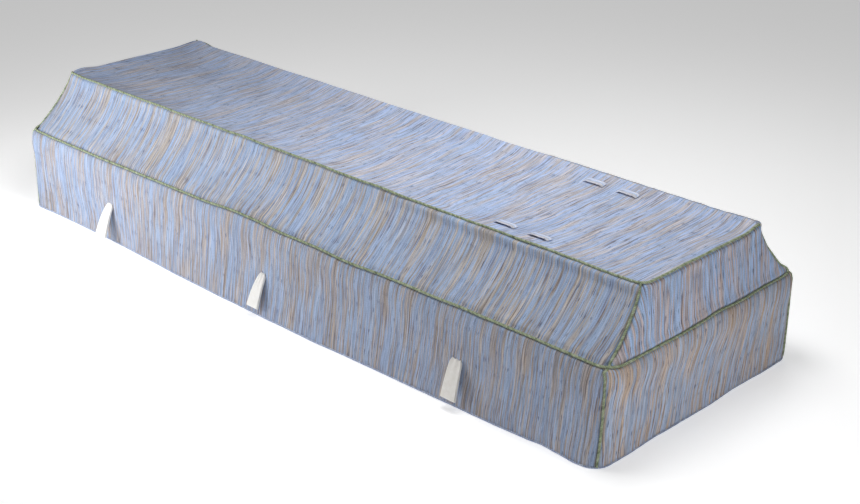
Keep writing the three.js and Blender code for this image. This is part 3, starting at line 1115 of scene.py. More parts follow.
class Shell:
    """A closed cloth shell through levels of columns."""

    panel_spacing = 3.0

    def __init__(self, name: str, levels: Levels) -> None:
        """Lays out the columns of every level.

        Args:
            name: The piece's name.
            levels: The sections, in order, with their zones.
        """
        self.name = name
        self.levels = levels
        self.columns = Columns()
        rings = [self.columns.ring(level) for level in levels.sections]
        self.x, self.y, self.facing = (np.array(part) for part in zip(*rings))
        self.z = np.repeat(levels.sizes("z"), self.columns.count, 1)
        self.u = np.array([self.columns.unrolled(level) for level in levels.sections])
        self.v_of_panel = np.array([self.down_panel(number) for number in range(4)])

    def down_panel(self, number: int) -> Array:
        """How far up the cloth each level is, measured on the middle column of a panel.

        Args:
            number: The panel.

        Returns:
            Metres from the first level.
        """
        on_span = np.where((self.columns.number == number) & ~self.columns.on_arc)[0]
        middle = on_span[len(on_span) // 2]
        return run_along(np.stack([self.x[:, middle], self.y[:, middle], self.z[:, middle]], 1))

    def push_out(self, by: Array) -> None:
        """Moves the cloth along the way that it faces, square to the shell.

        Args:
            by: How far, at each place.
        """
        rise = np.gradient(self.z, axis=0)
        run = np.gradient(self.x, axis=0) * np.cos(self.facing)
        run += np.gradient(self.y, axis=0) * np.sin(self.facing)
        size = np.maximum(np.hypot(rise, run), 1e-9)
        out, up = rise / size, -run / size
        self.x += by * out * np.cos(self.facing)
        self.y += by * out * np.sin(self.facing)
        self.z += by * up

    def sink_seams(self, depth: float, half: float, ridge: float = 0.25) -> None:
        """Sinks the cloth along the corner seams, under their cords.

        Args:
            depth: How deep a seam is.
            half: Half its width.
            ridge: How high the cloth rises beside it, as a share of the depth.
        """
        number = self.columns.number[None, :]
        seam = seam_share(number, self.levels.sizes("seam"))
        off_seam = (self.facing / QUARTER - number - seam) * self.levels.sizes("corner") * QUARTER
        away = np.where(self.columns.on_arc[None, :], off_seam, 1.0)
        sink = bump_at(away, 0.0, half) - ridge * bump_at(np.abs(away), 2.6 * half, 1.3 * half)
        self.push_out(-depth * sink * self.levels.sizes("groove"))

    def mesh(
        self,
        face_material: Callable[[Zone, Array], Array],
        skew: Callable[[Array, Array, Array, Array], Array],
    ) -> bpy.types.Mesh:
        """Makes the closed mesh with its cloth map.

        Args:
            face_material: Gives the material of each face of a strip.
            skew: How far the streaks of a panel have run aside at x, y and z.

        Returns:
            The mesh.
        """
        columns = self.columns
        mesh, column, row = gridded(self.name, columns.count, len(self.levels.sections) - 1)
        wrapped = column % columns.count
        move_to(mesh, self.x[row, wrapped], self.y[row, wrapped], self.z[row, wrapped])
        corners = loop_vertices(mesh)
        strip = row[corners].min(1)
        face_panel = columns.panel[column[corners].min(1)]
        panel = face_panel[:, None]
        at = row[corners], wrapped[corners]
        x, y, z = self.x[at], self.y[at], self.z[at]
        on_seam = columns.on_arc[at[1]] & (np.abs(columns.share[at[1]] - MID_ARC) < 1e-6)
        u = np.where(on_seam & (panel != columns.panel[at[1]]), self.seam_u(*at), self.u[at])
        v = self.v_of_panel[panel, at[0]]
        flat = self.levels.within(Zone.TOP)[strip][:, None]
        u, v = np.where(flat, x, u), np.where(flat, y, v)
        u = u + skew(np.where(flat, Panel.FLAT.value, panel), x, y, z)
        set_map(mesh, u + panel * self.panel_spacing * ~flat, v)
        material = np.zeros(len(strip), np.int32)
        for index, zone in enumerate(self.levels.zones[:-1]):
            here = strip == index
            material[here] = face_material(zone, face_panel[here])
        mesh.polygons.foreach_set("material_index", material)
        sewn_up(mesh)
        return mesh

    def seam_u(self, row: Array, column: Array) -> Array:
        """The cloth length of a seam column, measured from the panel before it.

        Args:
            row: The level of each place.
            column: The column of each place.

        Returns:
            Metres from the middle of that panel.
        """
        before = self.columns.before[column]
        length, width, corner, seam = (
            self.levels.sizes(name)[row, 0] for name in ("length", "width", "corner", "seam")
        )
        corner = np.minimum(corner, width / 2)
        flat = np.where(before % 2 == 0, length, width) / 2 - corner
        return -(flat + corner * QUARTER * seam_share(self.columns.number[column], seam))


@dataclass(frozen=True)
class Roll:
    """A roll or a tuck of cloth along a seam: how far off it, how wide, and how full."""

    at: float
    width: float
    on_side: float
    on_end: float

    def height(self, away: Array, sides: Array, fuller: Array | float = 1.0) -> Array:
        """How high it stands.

        Args:
            away: Distances from the seam.
            sides: Which panels are long sides.
            fuller: How much fuller it is on those.

        Returns:
            Its height, 1 being a full roll.
        """
        full = np.where(sides, self.on_side * fuller, self.on_end)
        return full * bump_at(away, self.at, self.width)


@dataclass
class Lid:
    """The hollow cloth lid: a sagging flat top and four slopes, open below."""

    wall: float = 0.009
    lip: float = 0.0045
    side_hollow: float = 0.45
    end_shoulder: float = 0.38
    sag: float = 0.010
    edge_inset: float = 0.0034
    edge_rise: float = 0.00212
    groove: float = 0.0033
    groove_half: float = 0.0042
    gap: float = 0.0003
    slope_rows: int = 40
    top_rows: int = 22
    lining_rows: int = 8

    slope_cloth: float = 0.174
    pillow: float = 0.0042
    tuck: float = 0.0030
    top_roll: Roll = Roll(0.0085, 0.013, 1.0, 0.8)
    low_roll: Roll = Roll(0.010, 0.010, 0.2, 0.7)
    top_tuck: Roll = Roll(0.0, 0.0030, 1.0, 0.8)
    low_tuck: Roll = Roll(0.0030, 0.0040, 0.6, 0.2)
    fuller_band: Band = (0.20, 0.50)
    pucker: float = 0.0008
    slack: float = 0.0009
    pleat: float = 0.0016
    pleat_pitch: float = 0.017

    side_run: Bump = (-0.45, 0.24, -0.15)
    end_run: Bump = (-0.09, 0.08, 0.012)
    top_run: float = 0.10

    @property
    def low(self) -> Section:
        """The slope's lower edge, just inside the eave's cord.

        Returns:
            The level.
        """
        inset = 2 * (BUILD.cord_radius + self.gap)
        return Section(
            length=BUILD.eave_length - inset,
            width=BUILD.eave_width - inset,
            corner=BUILD.eave_corner,
            z=BUILD.eave_height + 0.0005,
        )

    @property
    def high(self) -> Section:
        """The slope's upper edge, just inside the top's cord.

        Returns:
            The level.
        """
        inset = 2 * self.gap
        return Section(
            length=BUILD.top_length - inset,
            width=BUILD.top_width - inset,
            corner=BUILD.top_corner,
            z=BUILD.top_height - 0.004,
        )

    def slope(self, rise: float) -> Section:
        """The outer face from its lip (0) up to the top edge (1).

        Args:
            rise: How far up the panel, from 0 to 1.

        Returns:
            The level.
        """
        low, high = self.low, self.high
        side = (1 + self.side_hollow) * rise - self.side_hollow * rise**2
        end = (1 - self.end_shoulder) * rise + self.end_shoulder * rise**4
        return Section(
            length=between(low.length, high.length, end),
            width=between(low.width, high.width, side),
            corner=between(low.corner, high.corner, rise),
            z=between(low.z, high.z, rise),
            groove=1.0,
            seam=0.44 - 0.08 * float(smoothstep(rise, 0.0, 0.7)),
        )

    def inside(self, rise: float) -> Section:
        """The lining, a wall's thickness in from the slope.

        Args:
            rise: How far up the panel, from 0 to 1.

        Returns:
            The level.
        """
        outer, lower = self.slope(rise), self.slope(rise - 0.01)
        run, climb = (lower.width - outer.width) / 2, outer.z - lower.z
        return replace(
            outer.ungrooved(),
            width=outer.width - 2 * self.wall * math.hypot(1, run / climb),
            length=outer.length - 2 * self.wall,
        )

    @property
    def top_edge(self) -> Section:
        """Where the flat top starts, in from the slope."""
        edge = self.high.swollen(-self.edge_inset, self.high.z + self.edge_rise)
        return replace(edge, corner=edge.corner - self.edge_inset)

    def sagged(self, share: Array | float) -> Array | float:
        """The height of the flat top at a share of the way in from its edge."""
        return self.top_edge.z - self.sag * (1 - (1 - share) ** 4)

    def flat(self, share: float, drop: float = 0.0) -> Section:
        """The flat top as a ring, from its edge (0) in to its midline (1)."""
        return replace(self.top_edge.drawn_in(share), z=self.sagged(share) - drop)

    def top_z(self, x: Array, y: Array) -> Array:
        """The height of the flat top over a point.

        Args:
            x: Places along the coffin.
            y: Places across it.

        Returns:
            The height at each point.
        """
        edge = self.top_edge
        across = 1 - np.abs(y) / (edge.width / 2 * BUILD.taper_at(x))
        along = (edge.length / 2 - np.abs(x)) / (edge.width / 2)
        return self.sagged(np.clip(np.minimum(across, along), 0, 1))

    def levels(self) -> Levels:
        """Every level of the shell, from the middle of its lining to the middle of its top.

        Returns:
            The levels, in order.
        """
        made = Levels()
        shares = (1.0, 0.8, 0.6, 0.42, 0.26, 0.13, 0.05)
        made.add(Zone.LINING, *(self.flat(share, self.wall) for share in shares))
        down = np.arange(self.lining_rows, -1, -1) / self.lining_rows
        made.add(Zone.LINING, *(self.inside(0.94 * float(rise)) for rise in down))
        bottom = self.low.z - self.lip
        foot = self.slope(0.0).ungrooved()
        made.add(Zone.LINING, *(foot.swollen(by * self.wall, bottom) for by in (-1.0, -0.5)))
        made.add(Zone.WALL, foot.swollen(-0.0004, bottom), foot.swollen(0.0, bottom + 0.0006))
        made.add(Zone.WALL, replace(foot.swollen(0.0, bottom + 0.0025), groove=0.5))
        rises = crowded(np.linspace(0.0, 1.0, self.slope_rows + 1), 0.5)
        made.add(Zone.WALL, *(self.slope(float(rise)) for rise in rises))
        shares = np.linspace(0.0, 1.0, self.top_rows + 1) ** 1.6
        made.add(Zone.TOP, *(self.flat(float(share)) for share in shares))
        return made

    def swell(self, rise: Array, panel: Array, x: Array) -> Array:
        """How far the slope's cloth stands out between its seams, down a panel.

        Args:
            rise: How far up the panel, from 0 to 1.
            panel: Which panel each place is on.
            x: Places along the coffin.

        Returns:
            Metres out.
        """
        below_top, above_eave = (1 - rise) * self.slope_cloth, rise * self.slope_cloth
        sides = on_sides(panel)
        fuller = 0.45 + 1.45 * smoothstep(x, *self.fuller_band)
        rolled = self.top_roll.height(below_top, sides, fuller)
        rolled = rolled + self.low_roll.height(above_eave, sides)
        tucked = self.top_tuck.height(below_top, sides, 0.3 + 0.5 * fuller)
        tucked = tucked + self.low_tuck.height(above_eave, sides)
        return self.pillow * rolled - self.tuck * tucked

    def folds(self, shell: Shell, rise: Array) -> Array:
        """The low folds of the slopes: puckers along the cords, and pleats beside a hip.

        Args:
            shell: The lid's shell.
            rise: How far up the panel, from 0 to 1.

        Returns:
            Metres out.
        """
        noise = SoftNoise(19)
        x, y = shell.x, shell.y
        run = x + y
        at_cords = np.exp(-rise / 0.10) + np.exp((rise - 1) / 0.12)
        pucker = noise(run * 55, rise * 3 + 7) * at_cords
        slack = noise(run * 11, rise * 2.2 + 31)
        at_end = (shell.columns.panel == Panel.NARROW_END.value)[None, :] & ~shell.columns.on_arc
        half = between(self.low.width / 2, self.high.width / 2, rise)
        from_hip = y + half * BUILD.taper_at(x)
        pleat = np.sin(FULL_TURN * (from_hip / self.pleat_pitch + 1.1 * rise))
        pleat = pleat * bump_at(from_hip, 0.0, 0.05) * smoothstep(from_hip, 0.004, 0.014)
        pleat = pleat * at_end * bump_at(rise, 0.30, 0.30)
        return self.pucker * pucker + self.slack * slack + self.pleat * pleat

    def build(self, finishes: Wardrobe) -> bpy.types.Object:
        """Makes the lid.

        Args:
            finishes: The materials.

        Returns:
            The piece.
        """
        levels = self.levels()
        shell = Shell("Lid", levels)
        rows = levels.within(Zone.WALL)[:, None]
        low_z, high_z = self.low.z, self.high.z
        rise = np.clip((levels.sizes("z") - low_z) / (high_z - low_z), 0, 1)
        shell.push_out(self.swell(rise, shell.columns.panel[None, :], shell.x) * rows)
        shell.push_out(self.folds(shell, rise) * rows)
        shell.sink_seams(self.groove, self.groove_half)
        mesh = shell.mesh(self.face_material, self.skew)
        cloths = (finishes.top, finishes.side_slope, finishes.end_slope, finishes.lining)
        return placed(mesh, cloths, "cloth", "lid")

    def skew(self, panel: Array, x: Array, y: Array, z: Array) -> Array:
        """How far the streaks have run aside, for cloth that was cut a little off its grain.

        Args:
            panel: Which panel each place is on.
            x: Places along the coffin.
            y: Places across it.
            z: Their heights.

        Returns:
            Metres aside.
        """
        up = np.clip((z - self.low.z) * 1.35, 0.0, self.slope_cloth)
        side = (up - up**2 / (2 * self.slope_cloth)) * bumps(x, [self.side_run])
        end = smoothstep(up, 0.05, 0.15) * bumps(y, [self.end_run])
        middle = smoothstep(x, -0.62, -0.40) * (1 - smoothstep(x, 0.40, 0.60))
        top = self.top_run * y * middle
        return np.where(panel == Panel.FLAT.value, top, np.where(on_sides(panel), side, end))

    @staticmethod
    def face_material(zone: Zone, panel: Array) -> Array:
        """Which material each face of a strip takes.

        Args:
            zone: What the strip is.
            panel: The panel of each of its faces.

        Returns:
            The number of each face's material.
        """
        if zone is Zone.LINING:
            return np.full(panel.shape, 3)
        if zone is Zone.TOP:
            return np.zeros(panel.shape, int)
        return np.where(on_sides(panel), 1, 2)


@dataclass
class Box:
    """The open cloth-covered box: a floor and four walls, lined and empty."""

    lid: Lid
    swell_width: float = 0.662
    swell_length: float = 1.978
    swell_z: float = 0.198
    foot_width: float = 0.684
    foot_length: float = 1.954
    corner: float = 0.036
    bow: float = 0.013
    hem_height: float = 0.008
    wall: float = 0.012
    floor: float = 0.012
    cove_width: float = 0.006
    cove_height: float = 0.030
    rim_z: float = 0.2127
    rim_spread: float = 0.002
    groove: float = 0.0033
    groove_half: float = 0.0042
    side_rows: int = 40

    puff: Bump = (0.176, 0.024, 0.0034)
    fold: float = 0.0009
    pucker: Bump = (0.200, 0.022, 0.0008)
    wide_run: float = -0.010
    narrow_run: float = 0.07
    end_run: Bump = (0.02, 0.16, 0.025)

    def side(self, rise: float) -> Section:
        """The outer face from its foot (0) up to where it swells (1).

        Args:
            rise: How far up, from 0 to 1.

        Returns:
            The level.
        """
        return Section(
            length=between(self.foot_length, self.swell_length, rise),
            width=between(self.foot_width, self.swell_width, rise),
            corner=self.corner,
            z=between(self.hem_height, self.swell_z, rise),
            bow=self.bow * (1 - rise),
            groove=1.0,
            seam=0.5 - 0.17 * rise**2,
        )

    def side_at(self, z: float) -> Section:
        """The outer face at a height."""
        return self.side((z - self.hem_height) / (self.swell_z - self.hem_height))

    @property
    def shoulder(self) -> Section:
        """Where the wall turns in under the eave."""
        return replace(self.side(1.0).swollen(-0.0016, self.swell_z + 0.0105), seam=0.29)

    @property
    def rim(self) -> Section:
        """The wall's upper edge, under the lid's lip.

        Returns:
            The level.
        """
        low = self.lid.low
        length, width = low.length + self.rim_spread, low.width + self.rim_spread
        return replace(self.shoulder, length=length, width=width, z=self.rim_z)

    def levels(self) -> Levels:
        """Every level of the shell, from under the floor round the rim to the floor inside.

        Returns:
            The levels, in order.
        """
        made = Levels()
        foot, top, shoulder = self.side(0.0), self.side(1.0), self.shoulder
        under = foot.swollen(-0.002, 0.0).ungrooved()
        made.add(Zone.LINING, *(under.drawn_in(share) for share in (1.0, 0.6, 0.3, 0.1, 0.02)))
        made.add(Zone.WALL, replace(under, z=0.0002))
        made.add(Zone.WALL, replace(foot.swollen(0.0, 0.0015), groove=0.6))
        made.add(Zone.WALL, foot.swollen(0.0006, 0.0045))
        rises = crowded(np.linspace(0.0, 1.0, self.side_rows + 1), 0.35)
        made.add(Zone.WALL, *(self.side(float(rise)) for rise in rises))
        made.add(Zone.WALL, top.swollen(-0.0008, self.swell_z + 0.005), shoulder)
        for by, below in ((-0.0018, 0.0014), (-0.0042, 0.0002)):
            made.add(Zone.WALL, shoulder.swollen(by, self.rim_z - below))
        inner_top = self.rim.swollen(-self.wall, self.rim_z).ungrooved()
        made.add(Zone.LINING, self.rim.swollen(-0.0005, self.rim_z))
        made.add(Zone.LINING, inner_top.swollen(0.001, self.rim_z))
        made.add(Zone.LINING, replace(inner_top, z=self.rim_z - 0.001))
        cove_z = self.floor + self.cove_height
        cove = self.side_at(cove_z).swollen(-self.wall, cove_z).ungrooved()
        for share in (0.25, 0.5, 0.75):
            level = Section(
                length=between(inner_top.length, cove.length, share),
                width=between(inner_top.width, cove.width, share),
                corner=self.corner,
                z=between(inner_top.z, cove.z, share),
                bow=cove.bow * share,
            )
            made.add(Zone.LINING, level)
        inner_foot = foot.swollen(-self.wall - self.cove_width, self.floor).ungrooved()
        made.add(Zone.LINING, cove, inner_foot)
        made.add(Zone.LINING, *(inner_foot.drawn_in(share) for share in (0.05, 0.2, 0.5, 1.0)))
        return made

    def build(self, finishes: Wardrobe) -> bpy.types.Object:
        """Makes the box.

        Args:
            finishes: The materials.

        Returns:
            The piece.
        """
        levels = self.levels()
        shell = Shell("Box", levels)
        z, run = levels.sizes("z"), shell.x + shell.y
        noise = SoftNoise(23)
        fold = self.fold * noise(run * 12, z * 16 + 3)
        pucker = noise(run * 52, z * 20 + 9) * bumps(z, [self.pucker])
        slack = bumps(z, [self.puff]) + fold + pucker
        shell.push_out(slack * levels.within(Zone.WALL)[:, None])
        shell.sink_seams(self.groove, self.groove_half)
        mesh = shell.mesh(self.face_material, self.skew)
        return placed(mesh, (finishes.box_side, finishes.box_end, finishes.lining), "cloth", "base")

    def skew(self, panel: Array, x: Array, y: Array, z: Array) -> Array:
        """How far the streaks have run aside, for cloth that was cut a little off its grain.

        Args:
            panel: Which panel each place is on.
            x: Places along the coffin.
            y: Places across it.
            z: Their heights.

        Returns:
            Metres aside.
        """
        left = self.wide_run * smoothstep(z, 0.05, 0.13) * (1 - smoothstep(x, -0.55, -0.35))
        right = self.narrow_run * np.clip(z - 0.02, 0.0, 1.0) * smoothstep(x, 0.30, 0.50)
        end = smoothstep(z, 0.05, 0.17) * bumps(y, [self.end_run])
        return np.where(on_sides(panel), left + right, end)

    @staticmethod
    def face_material(zone: Zone, panel: Array) -> Array:
        """Which material each face of a strip takes.

        Args:
            zone: What the strip is.
            panel: The panel of each of its faces.

        Returns:
            The number of each face's material.
        """
        if zone is Zone.LINING:
            return np.full(panel.shape, 2)
        return np.where(on_sides(panel), 0, 1)

    def face_at(self, x: float, z: float) -> float:
        """Half the width of the outer face at x and a height."""
        section = self.side_at(z)
        return float(BUILD.settle(x, section.width / 2, section)[1])


# Cords


@dataclass
class TwistedCord:
    """A cord of twisted strands along a path."""

    name: str
    radius: float
    strands: int = 3
    pitch: float = 0.012
    step: float = 0.0013
    sides: int = 12
    depth: float = 0.24
    blunt_end: float = 0.55
    end_length: float = 0.002

    def along(self, path: Array, closed: bool) -> tuple[Array, Array]:
        """Spaces points evenly along a path.

        Args:
            path: Its points.
            closed: Whether it is a loop.

        Returns:
            The points, and how far along each one is.
        """
        if closed:
            path = np.concatenate([path, path[:1]])
        length = run_along(path)
        count = max(int(round(length[-1] / self.step)), 4)
        at = np.linspace(0.0, length[-1], count + 1)
        points = np.stack([np.interp(at, length, path[:, axis]) for axis in range(3)], 1)
        return points, at

    @staticmethod
    def frame_of(points: Array, closed: bool) -> tuple[Array, Array]:
        """Two directions square to a path and to each other, at each of its points.

        Args:
            points: The points of the path.
            closed: Whether it is a loop.

        Returns:
            The two directions, by row.
        """
        if closed:
            ahead = np.roll(points[:-1], -1, 0) - np.roll(points[:-1], 1, 0)
            ahead = np.concatenate([ahead, ahead[:1]])
        else:
            ahead = np.gradient(points, axis=0)
        ahead /= np.linalg.norm(ahead, axis=1)[:, None]
        never_along = (0.0, 0.0, 1.0) if closed else (1.0, 0.0, 0.0)
        side = np.cross(ahead, never_along)
        side /= np.linalg.norm(side, axis=1)[:, None]
        return side, np.cross(side, ahead)

    def build(
        self, path: Array, closed: bool, finish: bpy.types.Material, slot: str, *nodes: str
    ) -> bpy.types.Object:
        """Makes the cord.

        Args:
            path: The points of its middle line, level all round or rising.
            closed: Whether it is a loop.
            finish: Its material.
            slot: The material slot's name, passed on to placed.
            nodes: The solids that it stands for.

        Returns:
            The piece.
        """
        points, at = self.along(path, closed)
        side, third = self.frame_of(points, closed)
        pitch = self.pitch
        if closed:
            turns = max(round(at[-1] / (pitch / self.strands)), 1)
            pitch = self.strands * at[-1] / turns
        mesh, column, row = gridded(self.name, len(points) - 1, self.sides)
        angle = -FULL_TURN * row / self.sides
        lobes = self.strands * (angle + FULL_TURN * at[column] / pitch)
        size = self.radius * (1 - self.depth * (0.5 - 0.5 * np.cos(lobes)))
        if not closed:
            from_end = np.minimum(at[column], at[-1] - at[column])
            rounding = smoothstep(from_end, 0.0, self.end_length)
            size = size * between(self.blunt_end, 1.0, rounding)
        way = np.cos(angle)[:, None] * side[column] + np.sin(angle)[:, None] * third[column]
        move_to(mesh, *(points[column] + size[:, None] * way).T)
        corners = loop_vertices(mesh)
        set_map(mesh, at[column][corners], (lobes / FULL_TURN + 0.5)[corners])
        sewn_up(mesh)
        return placed(mesh, [finish], slot, *nodes)


def level_ring(section: Section) -> Array:
    """The middle line of a cord that runs all round at one height."""
    x, y, _ = Columns(side=200, end=80).ring(section)
    return np.stack([x, y, np.full(len(x), section.z)], 1)


@dataclass
class Piping:
    """The green cords in the seams of the lid and the box.

    A proud list gives how much further out than its seam the far narrow cord lies, at shares
    of its length.
    """

    lid: Lid
    box: Box
    radius: float = 0.0028
    top_sunk: float = 0.0006
    hip_proud: tuple[tuple[float, float], ...] = (
        (0.0, 0.0), (0.08, 0.0012), (0.45, 0.0008), (0.62, -0.0018), (0.94, -0.0022), (1.0, 0.0),
    )
    corner_proud: tuple[tuple[float, float], ...] = (
        (0.0, 0.0), (0.1, 0.0016), (0.92, 0.0018), (1.0, 0.0),
    )
    far_narrow_seam: float = 0.41
    hidden_edge_drop: float = 0.0095
    far_edge_band: Band = (0.180, 0.199)
    far_edge_aside: float = 0.0070
    wide_edge_band: Band = (0.945, 0.962)
    wide_edge_aside: float = 0.0050

    def cord(
        self, name: str, node: str, path: Array, closed: bool, finishes: Wardrobe
    ) -> bpy.types.Object:
        """Makes one green cord along a path, for the node that it stands for."""
        return TwistedCord(name, self.radius).build(path, closed, finishes.piping, "cord", node)

    def top_path(self) -> Array:
        """The cord round the top, which has rolled over on the far side and at the wide end.

        Returns:
            The points of its middle line.
        """
        top = level_ring(
            Section(
                length=BUILD.top_length,
                width=BUILD.top_width,
                corner=BUILD.top_corner,
                z=BUILD.top_height - self.top_sunk,
            )
        )
        beyond = smoothstep(top[:, 1], *self.far_edge_band)
        behind = smoothstep(-top[:, 0], *self.wide_edge_band)
        top[:, 0] -= self.wide_edge_aside * behind
        top[:, 1] += self.far_edge_aside * beyond
        top[:, 2] -= self.hidden_edge_drop * np.maximum(beyond, behind)
        return top

    def up_corner(
        self, levels: Sequence[Section], number: int, proud: Sequence[tuple[float, float]]
    ) -> Array:
        """The middle line of a cord that runs up a corner seam.

        Args:
            levels: The sections that it passes.
            number: Which corner.
            proud: How much further out it lies at the far narrow corner.

        Returns:
            The points of the line.
        """
        points = []
        prouder = np.zeros(len(levels))
        if number == FAR_NARROW_CORNER:
            prouder = np.interp(np.linspace(0.0, 1.0, len(levels)), *zip(*proud))
        for level, by in zip(levels, prouder):
            leaning = {NEAR_NARROW_CORNER: level.seam, FAR_NARROW_CORNER: self.far_narrow_seam}
            angle = QUARTER * (number + leaning.get(number, MID_ARC))
            sign_x, sign_y = CORNER_SIGNS[number]
            reach = level.corner + BUILD.cord_proud + by
            x = sign_x * (level.length / 2 - level.corner) + reach * math.cos(angle)
            y = sign_y * (level.width / 2 - level.corner) + reach * math.sin(angle)
            points.append((*BUILD.settle(x, y, level), level.z))
        return np.array(points, float)

    def build(self, finishes: Wardrobe) -> list[bpy.types.Object]:
        """Makes every cord of the piping.

        Args:
            finishes: The materials.

        Returns:
            The pieces.
        """
        low = replace(self.lid.slope(0.0), length=BUILD.eave_length, width=BUILD.eave_width)
        high = replace(
            self.lid.slope(1.0),
            length=BUILD.top_length,
            width=BUILD.top_width,
            z=BUILD.top_height - 2 * self.top_sunk,
        )
        eave = level_ring(replace(low, z=BUILD.eave_height, seam=MID_ARC))
        made = [
            self.cord("Top_piping", "lid_top_piping", self.top_path(), True, finishes),
            self.cord("Eave_piping", "eave_piping", eave, True, finishes),
        ]
        under = replace(low.swollen(-0.0008, BUILD.eave_height - 0.002), corner=self.box.corner)
        hip = [low, *(self.lid.slope(float(rise)) for rise in np.linspace(0.03, 0.97, 24)), high]
        wall = [self.box.side(float(rise)) for rise in np.linspace(0.0, 1.0, 20)]
        wall = [wall[0].swollen(0.0, 0.0025), *wall, self.box.shoulder, under]
        for number in range(len(CORNER_SIGNS)):
            for name, node, levels, proud in (
                ("Hip_piping", "lid_hip_piping", hip, self.hip_proud),
                ("Corner_piping", "base_corner_piping", wall, self.corner_proud),
            ):
                path = self.up_corner(levels, number, proud)
                name, node = f"{name}_{number + 1}", f"{node}_{number + 1}"
                made.append(self.cord(name, node, path, False, finishes))
        return made


@dataclass
class Hem:
    """The overcast roll along the box's foot."""

    box: Box
    radius: float = 0.0024
    z: float = 0.0026
    proud: float = 0.0004

    def build(self, finishes: Wardrobe) -> bpy.types.Object:
        """Makes the roll, all round the foot.

        Args:
            finishes: The materials.

        Returns:
            The piece.
        """
        path = level_ring(self.box.side(0.0).swollen(self.proud, self.z))
        cord = TwistedCord("Hem_roll", self.radius, strands=2, pitch=0.010, step=0.0018, sides=10)
        return cord.build(path, True, finishes.hem, "cloth")


# Handles and loops


@dataclass(frozen=True)
class HandleShape:
    """How one webbing handle hangs."""

    neck: float
    width: float
    reach: float
    lean: float
    pleats: float
    # The cream webbing is partly painted shade.
    cream: bool = False


@dataclass
class Handles:
    """Six webbing loops that leave slits in the long sides and hang flat."""

    box: Box
    pitch: float = 0.608
    offset: float = -0.004
    slit_z: float = 0.105
    slit_depth: float = 0.009
    thick: float = 0.0018
    drop: float = 0.078
    fold: float = 0.0018
    pinch: float = 0.22
    pleat: float = 0.0011
    shapes: tuple[HandleShape, ...] = (
        HandleShape(0.022, 0.042, 0.037, -0.002, 1.2),
        HandleShape(0.020, 0.037, 0.031, -0.009, 3.0),
        HandleShape(0.030, 0.040, 0.033, 0.004, 2.0, True),
    )
    layer_steps: int = 26
    fold_steps: int = 8
    across_steps: int = 20

    def middle(self, reach: float, down: Array) -> tuple[Array, Array, Array, Array]:
        """The line halfway between the two layers.

        Args:
            reach: How far the fold stands off the wall.
            down: Shares of the way down.

        Returns:
            Distance out, height, and the direction of the line.
        """
        start = np.array([0.0, self.slit_z])
        bend = np.array([0.46 * reach, self.slit_z - 0.32 * self.drop])
        end = np.array([reach - self.fold, self.slit_z - self.drop + self.fold])
        t = down[:, None]
        point = (1 - t) ** 2 * start + 2 * t * (1 - t) * bend + t**2 * end
        way = 2 * (1 - t) * (bend - start) + 2 * t * (end - bend)
        way /= np.linalg.norm(way, axis=1)[:, None]
        return (*point.T, *way.T)

    def strap(self, reach: float) -> tuple[Array, Array, Array, Array]:
        """The strap from inside its slit, down one layer, round the fold and back.

        Args:
            reach: How far the fold stands off the wall.

        Returns:
            Distance out, height, share of the way down, and how far round the fold it is.
        """
        steps = np.linspace(0, 1, self.layer_steps + 1)
        down = np.concatenate([steps[:-1], np.ones(self.fold_steps + 1), steps[-2::-1]])
        round_fold = np.linspace(0, math.pi, self.fold_steps + 1)
        turn = np.pad(round_fold, self.layer_steps, mode="edge")
        out, z, way_out, way_z = self.middle(reach, down)
        together = 0.8 * self.thick
        spread = between(together, self.fold, smoothstep(down, 0, 0.9))
        out = out - way_z * spread * np.cos(turn) + way_out * spread * np.sin(turn)
        z = z + way_out * spread * np.cos(turn) + way_z * spread * np.sin(turn)
        inside = 0.001 - self.slit_depth
        out = np.concatenate([[inside], out, [inside]])
        return out, *(np.pad(part, 1, mode="edge") for part in (z, down, turn))

    def build_one(self, number: int, finishes: Wardrobe) -> bpy.types.Object:
        """Makes one handle.

        Args:
            number: Which handle, from 1 to 6.
            finishes: The materials.

        Returns:
            The piece.
        """
        place = (number - 1) % 3
        shape = self.shapes[place]
        side = -1 if number <= 3 else 1
        x0 = self.offset + (place - 1) * self.pitch
        out, z, down, turn = self.strap(shape.reach)
        count = self.across_steps
        round_strap = 2 * count + 2
        mesh, column, row = gridded(f"Handle_{number}", round_strap, len(out) - 1)
        wrapped = column % round_strap
        front = wrapped <= count
        share = np.where(front, wrapped, round_strap - 1 - wrapped) / count * 2 - 1
        half = between(shape.neck, shape.width, down**0.8)
        half = half * (1 - self.pinch * np.exp(-down / 0.06))
        tuck = self.pleat * (1 - smoothstep(down, 0.05, 0.7))
        outer = turn[row] < QUARTER
        ripple = tuck[row] * np.cos(share * math.pi * shape.pleats) * np.where(outer, 1, -0.6)
        ripple += np.where(front, -0.5, 0.5) * self.thick
        slope_out, slope_z = np.gradient(out), np.gradient(z)
        size = np.hypot(slope_out, slope_z)
        across = share * half[row] / 2
        x = x0 + shape.lean * down[row] + across
        y = side * (self.box.face_at(x0, self.slit_z) + out[row] + ripple * (-slope_z / size)[row])
        move_to(mesh, x, y, z[row] + ripple * (slope_out / size)[row])
        corners = loop_vertices(mesh)
        set_map(mesh, across[corners], run_along(np.stack([out, z], 1))[row][corners])
        sewn_up(mesh)
        facing_out(mesh)
        # The cream webbing on handles 3 and 6 is partly painted shade.
        finish = finishes.cream_shaded_webbing if shape.cream else finishes.webbing
        return placed(mesh, [finish], "webbing", f"handle_{number}")

    def build(self, finishes: Wardrobe) -> list[bpy.types.Object]:
        """Makes all six handles."""
        return [self.build_one(number, finishes) for number in range(1, 7)]


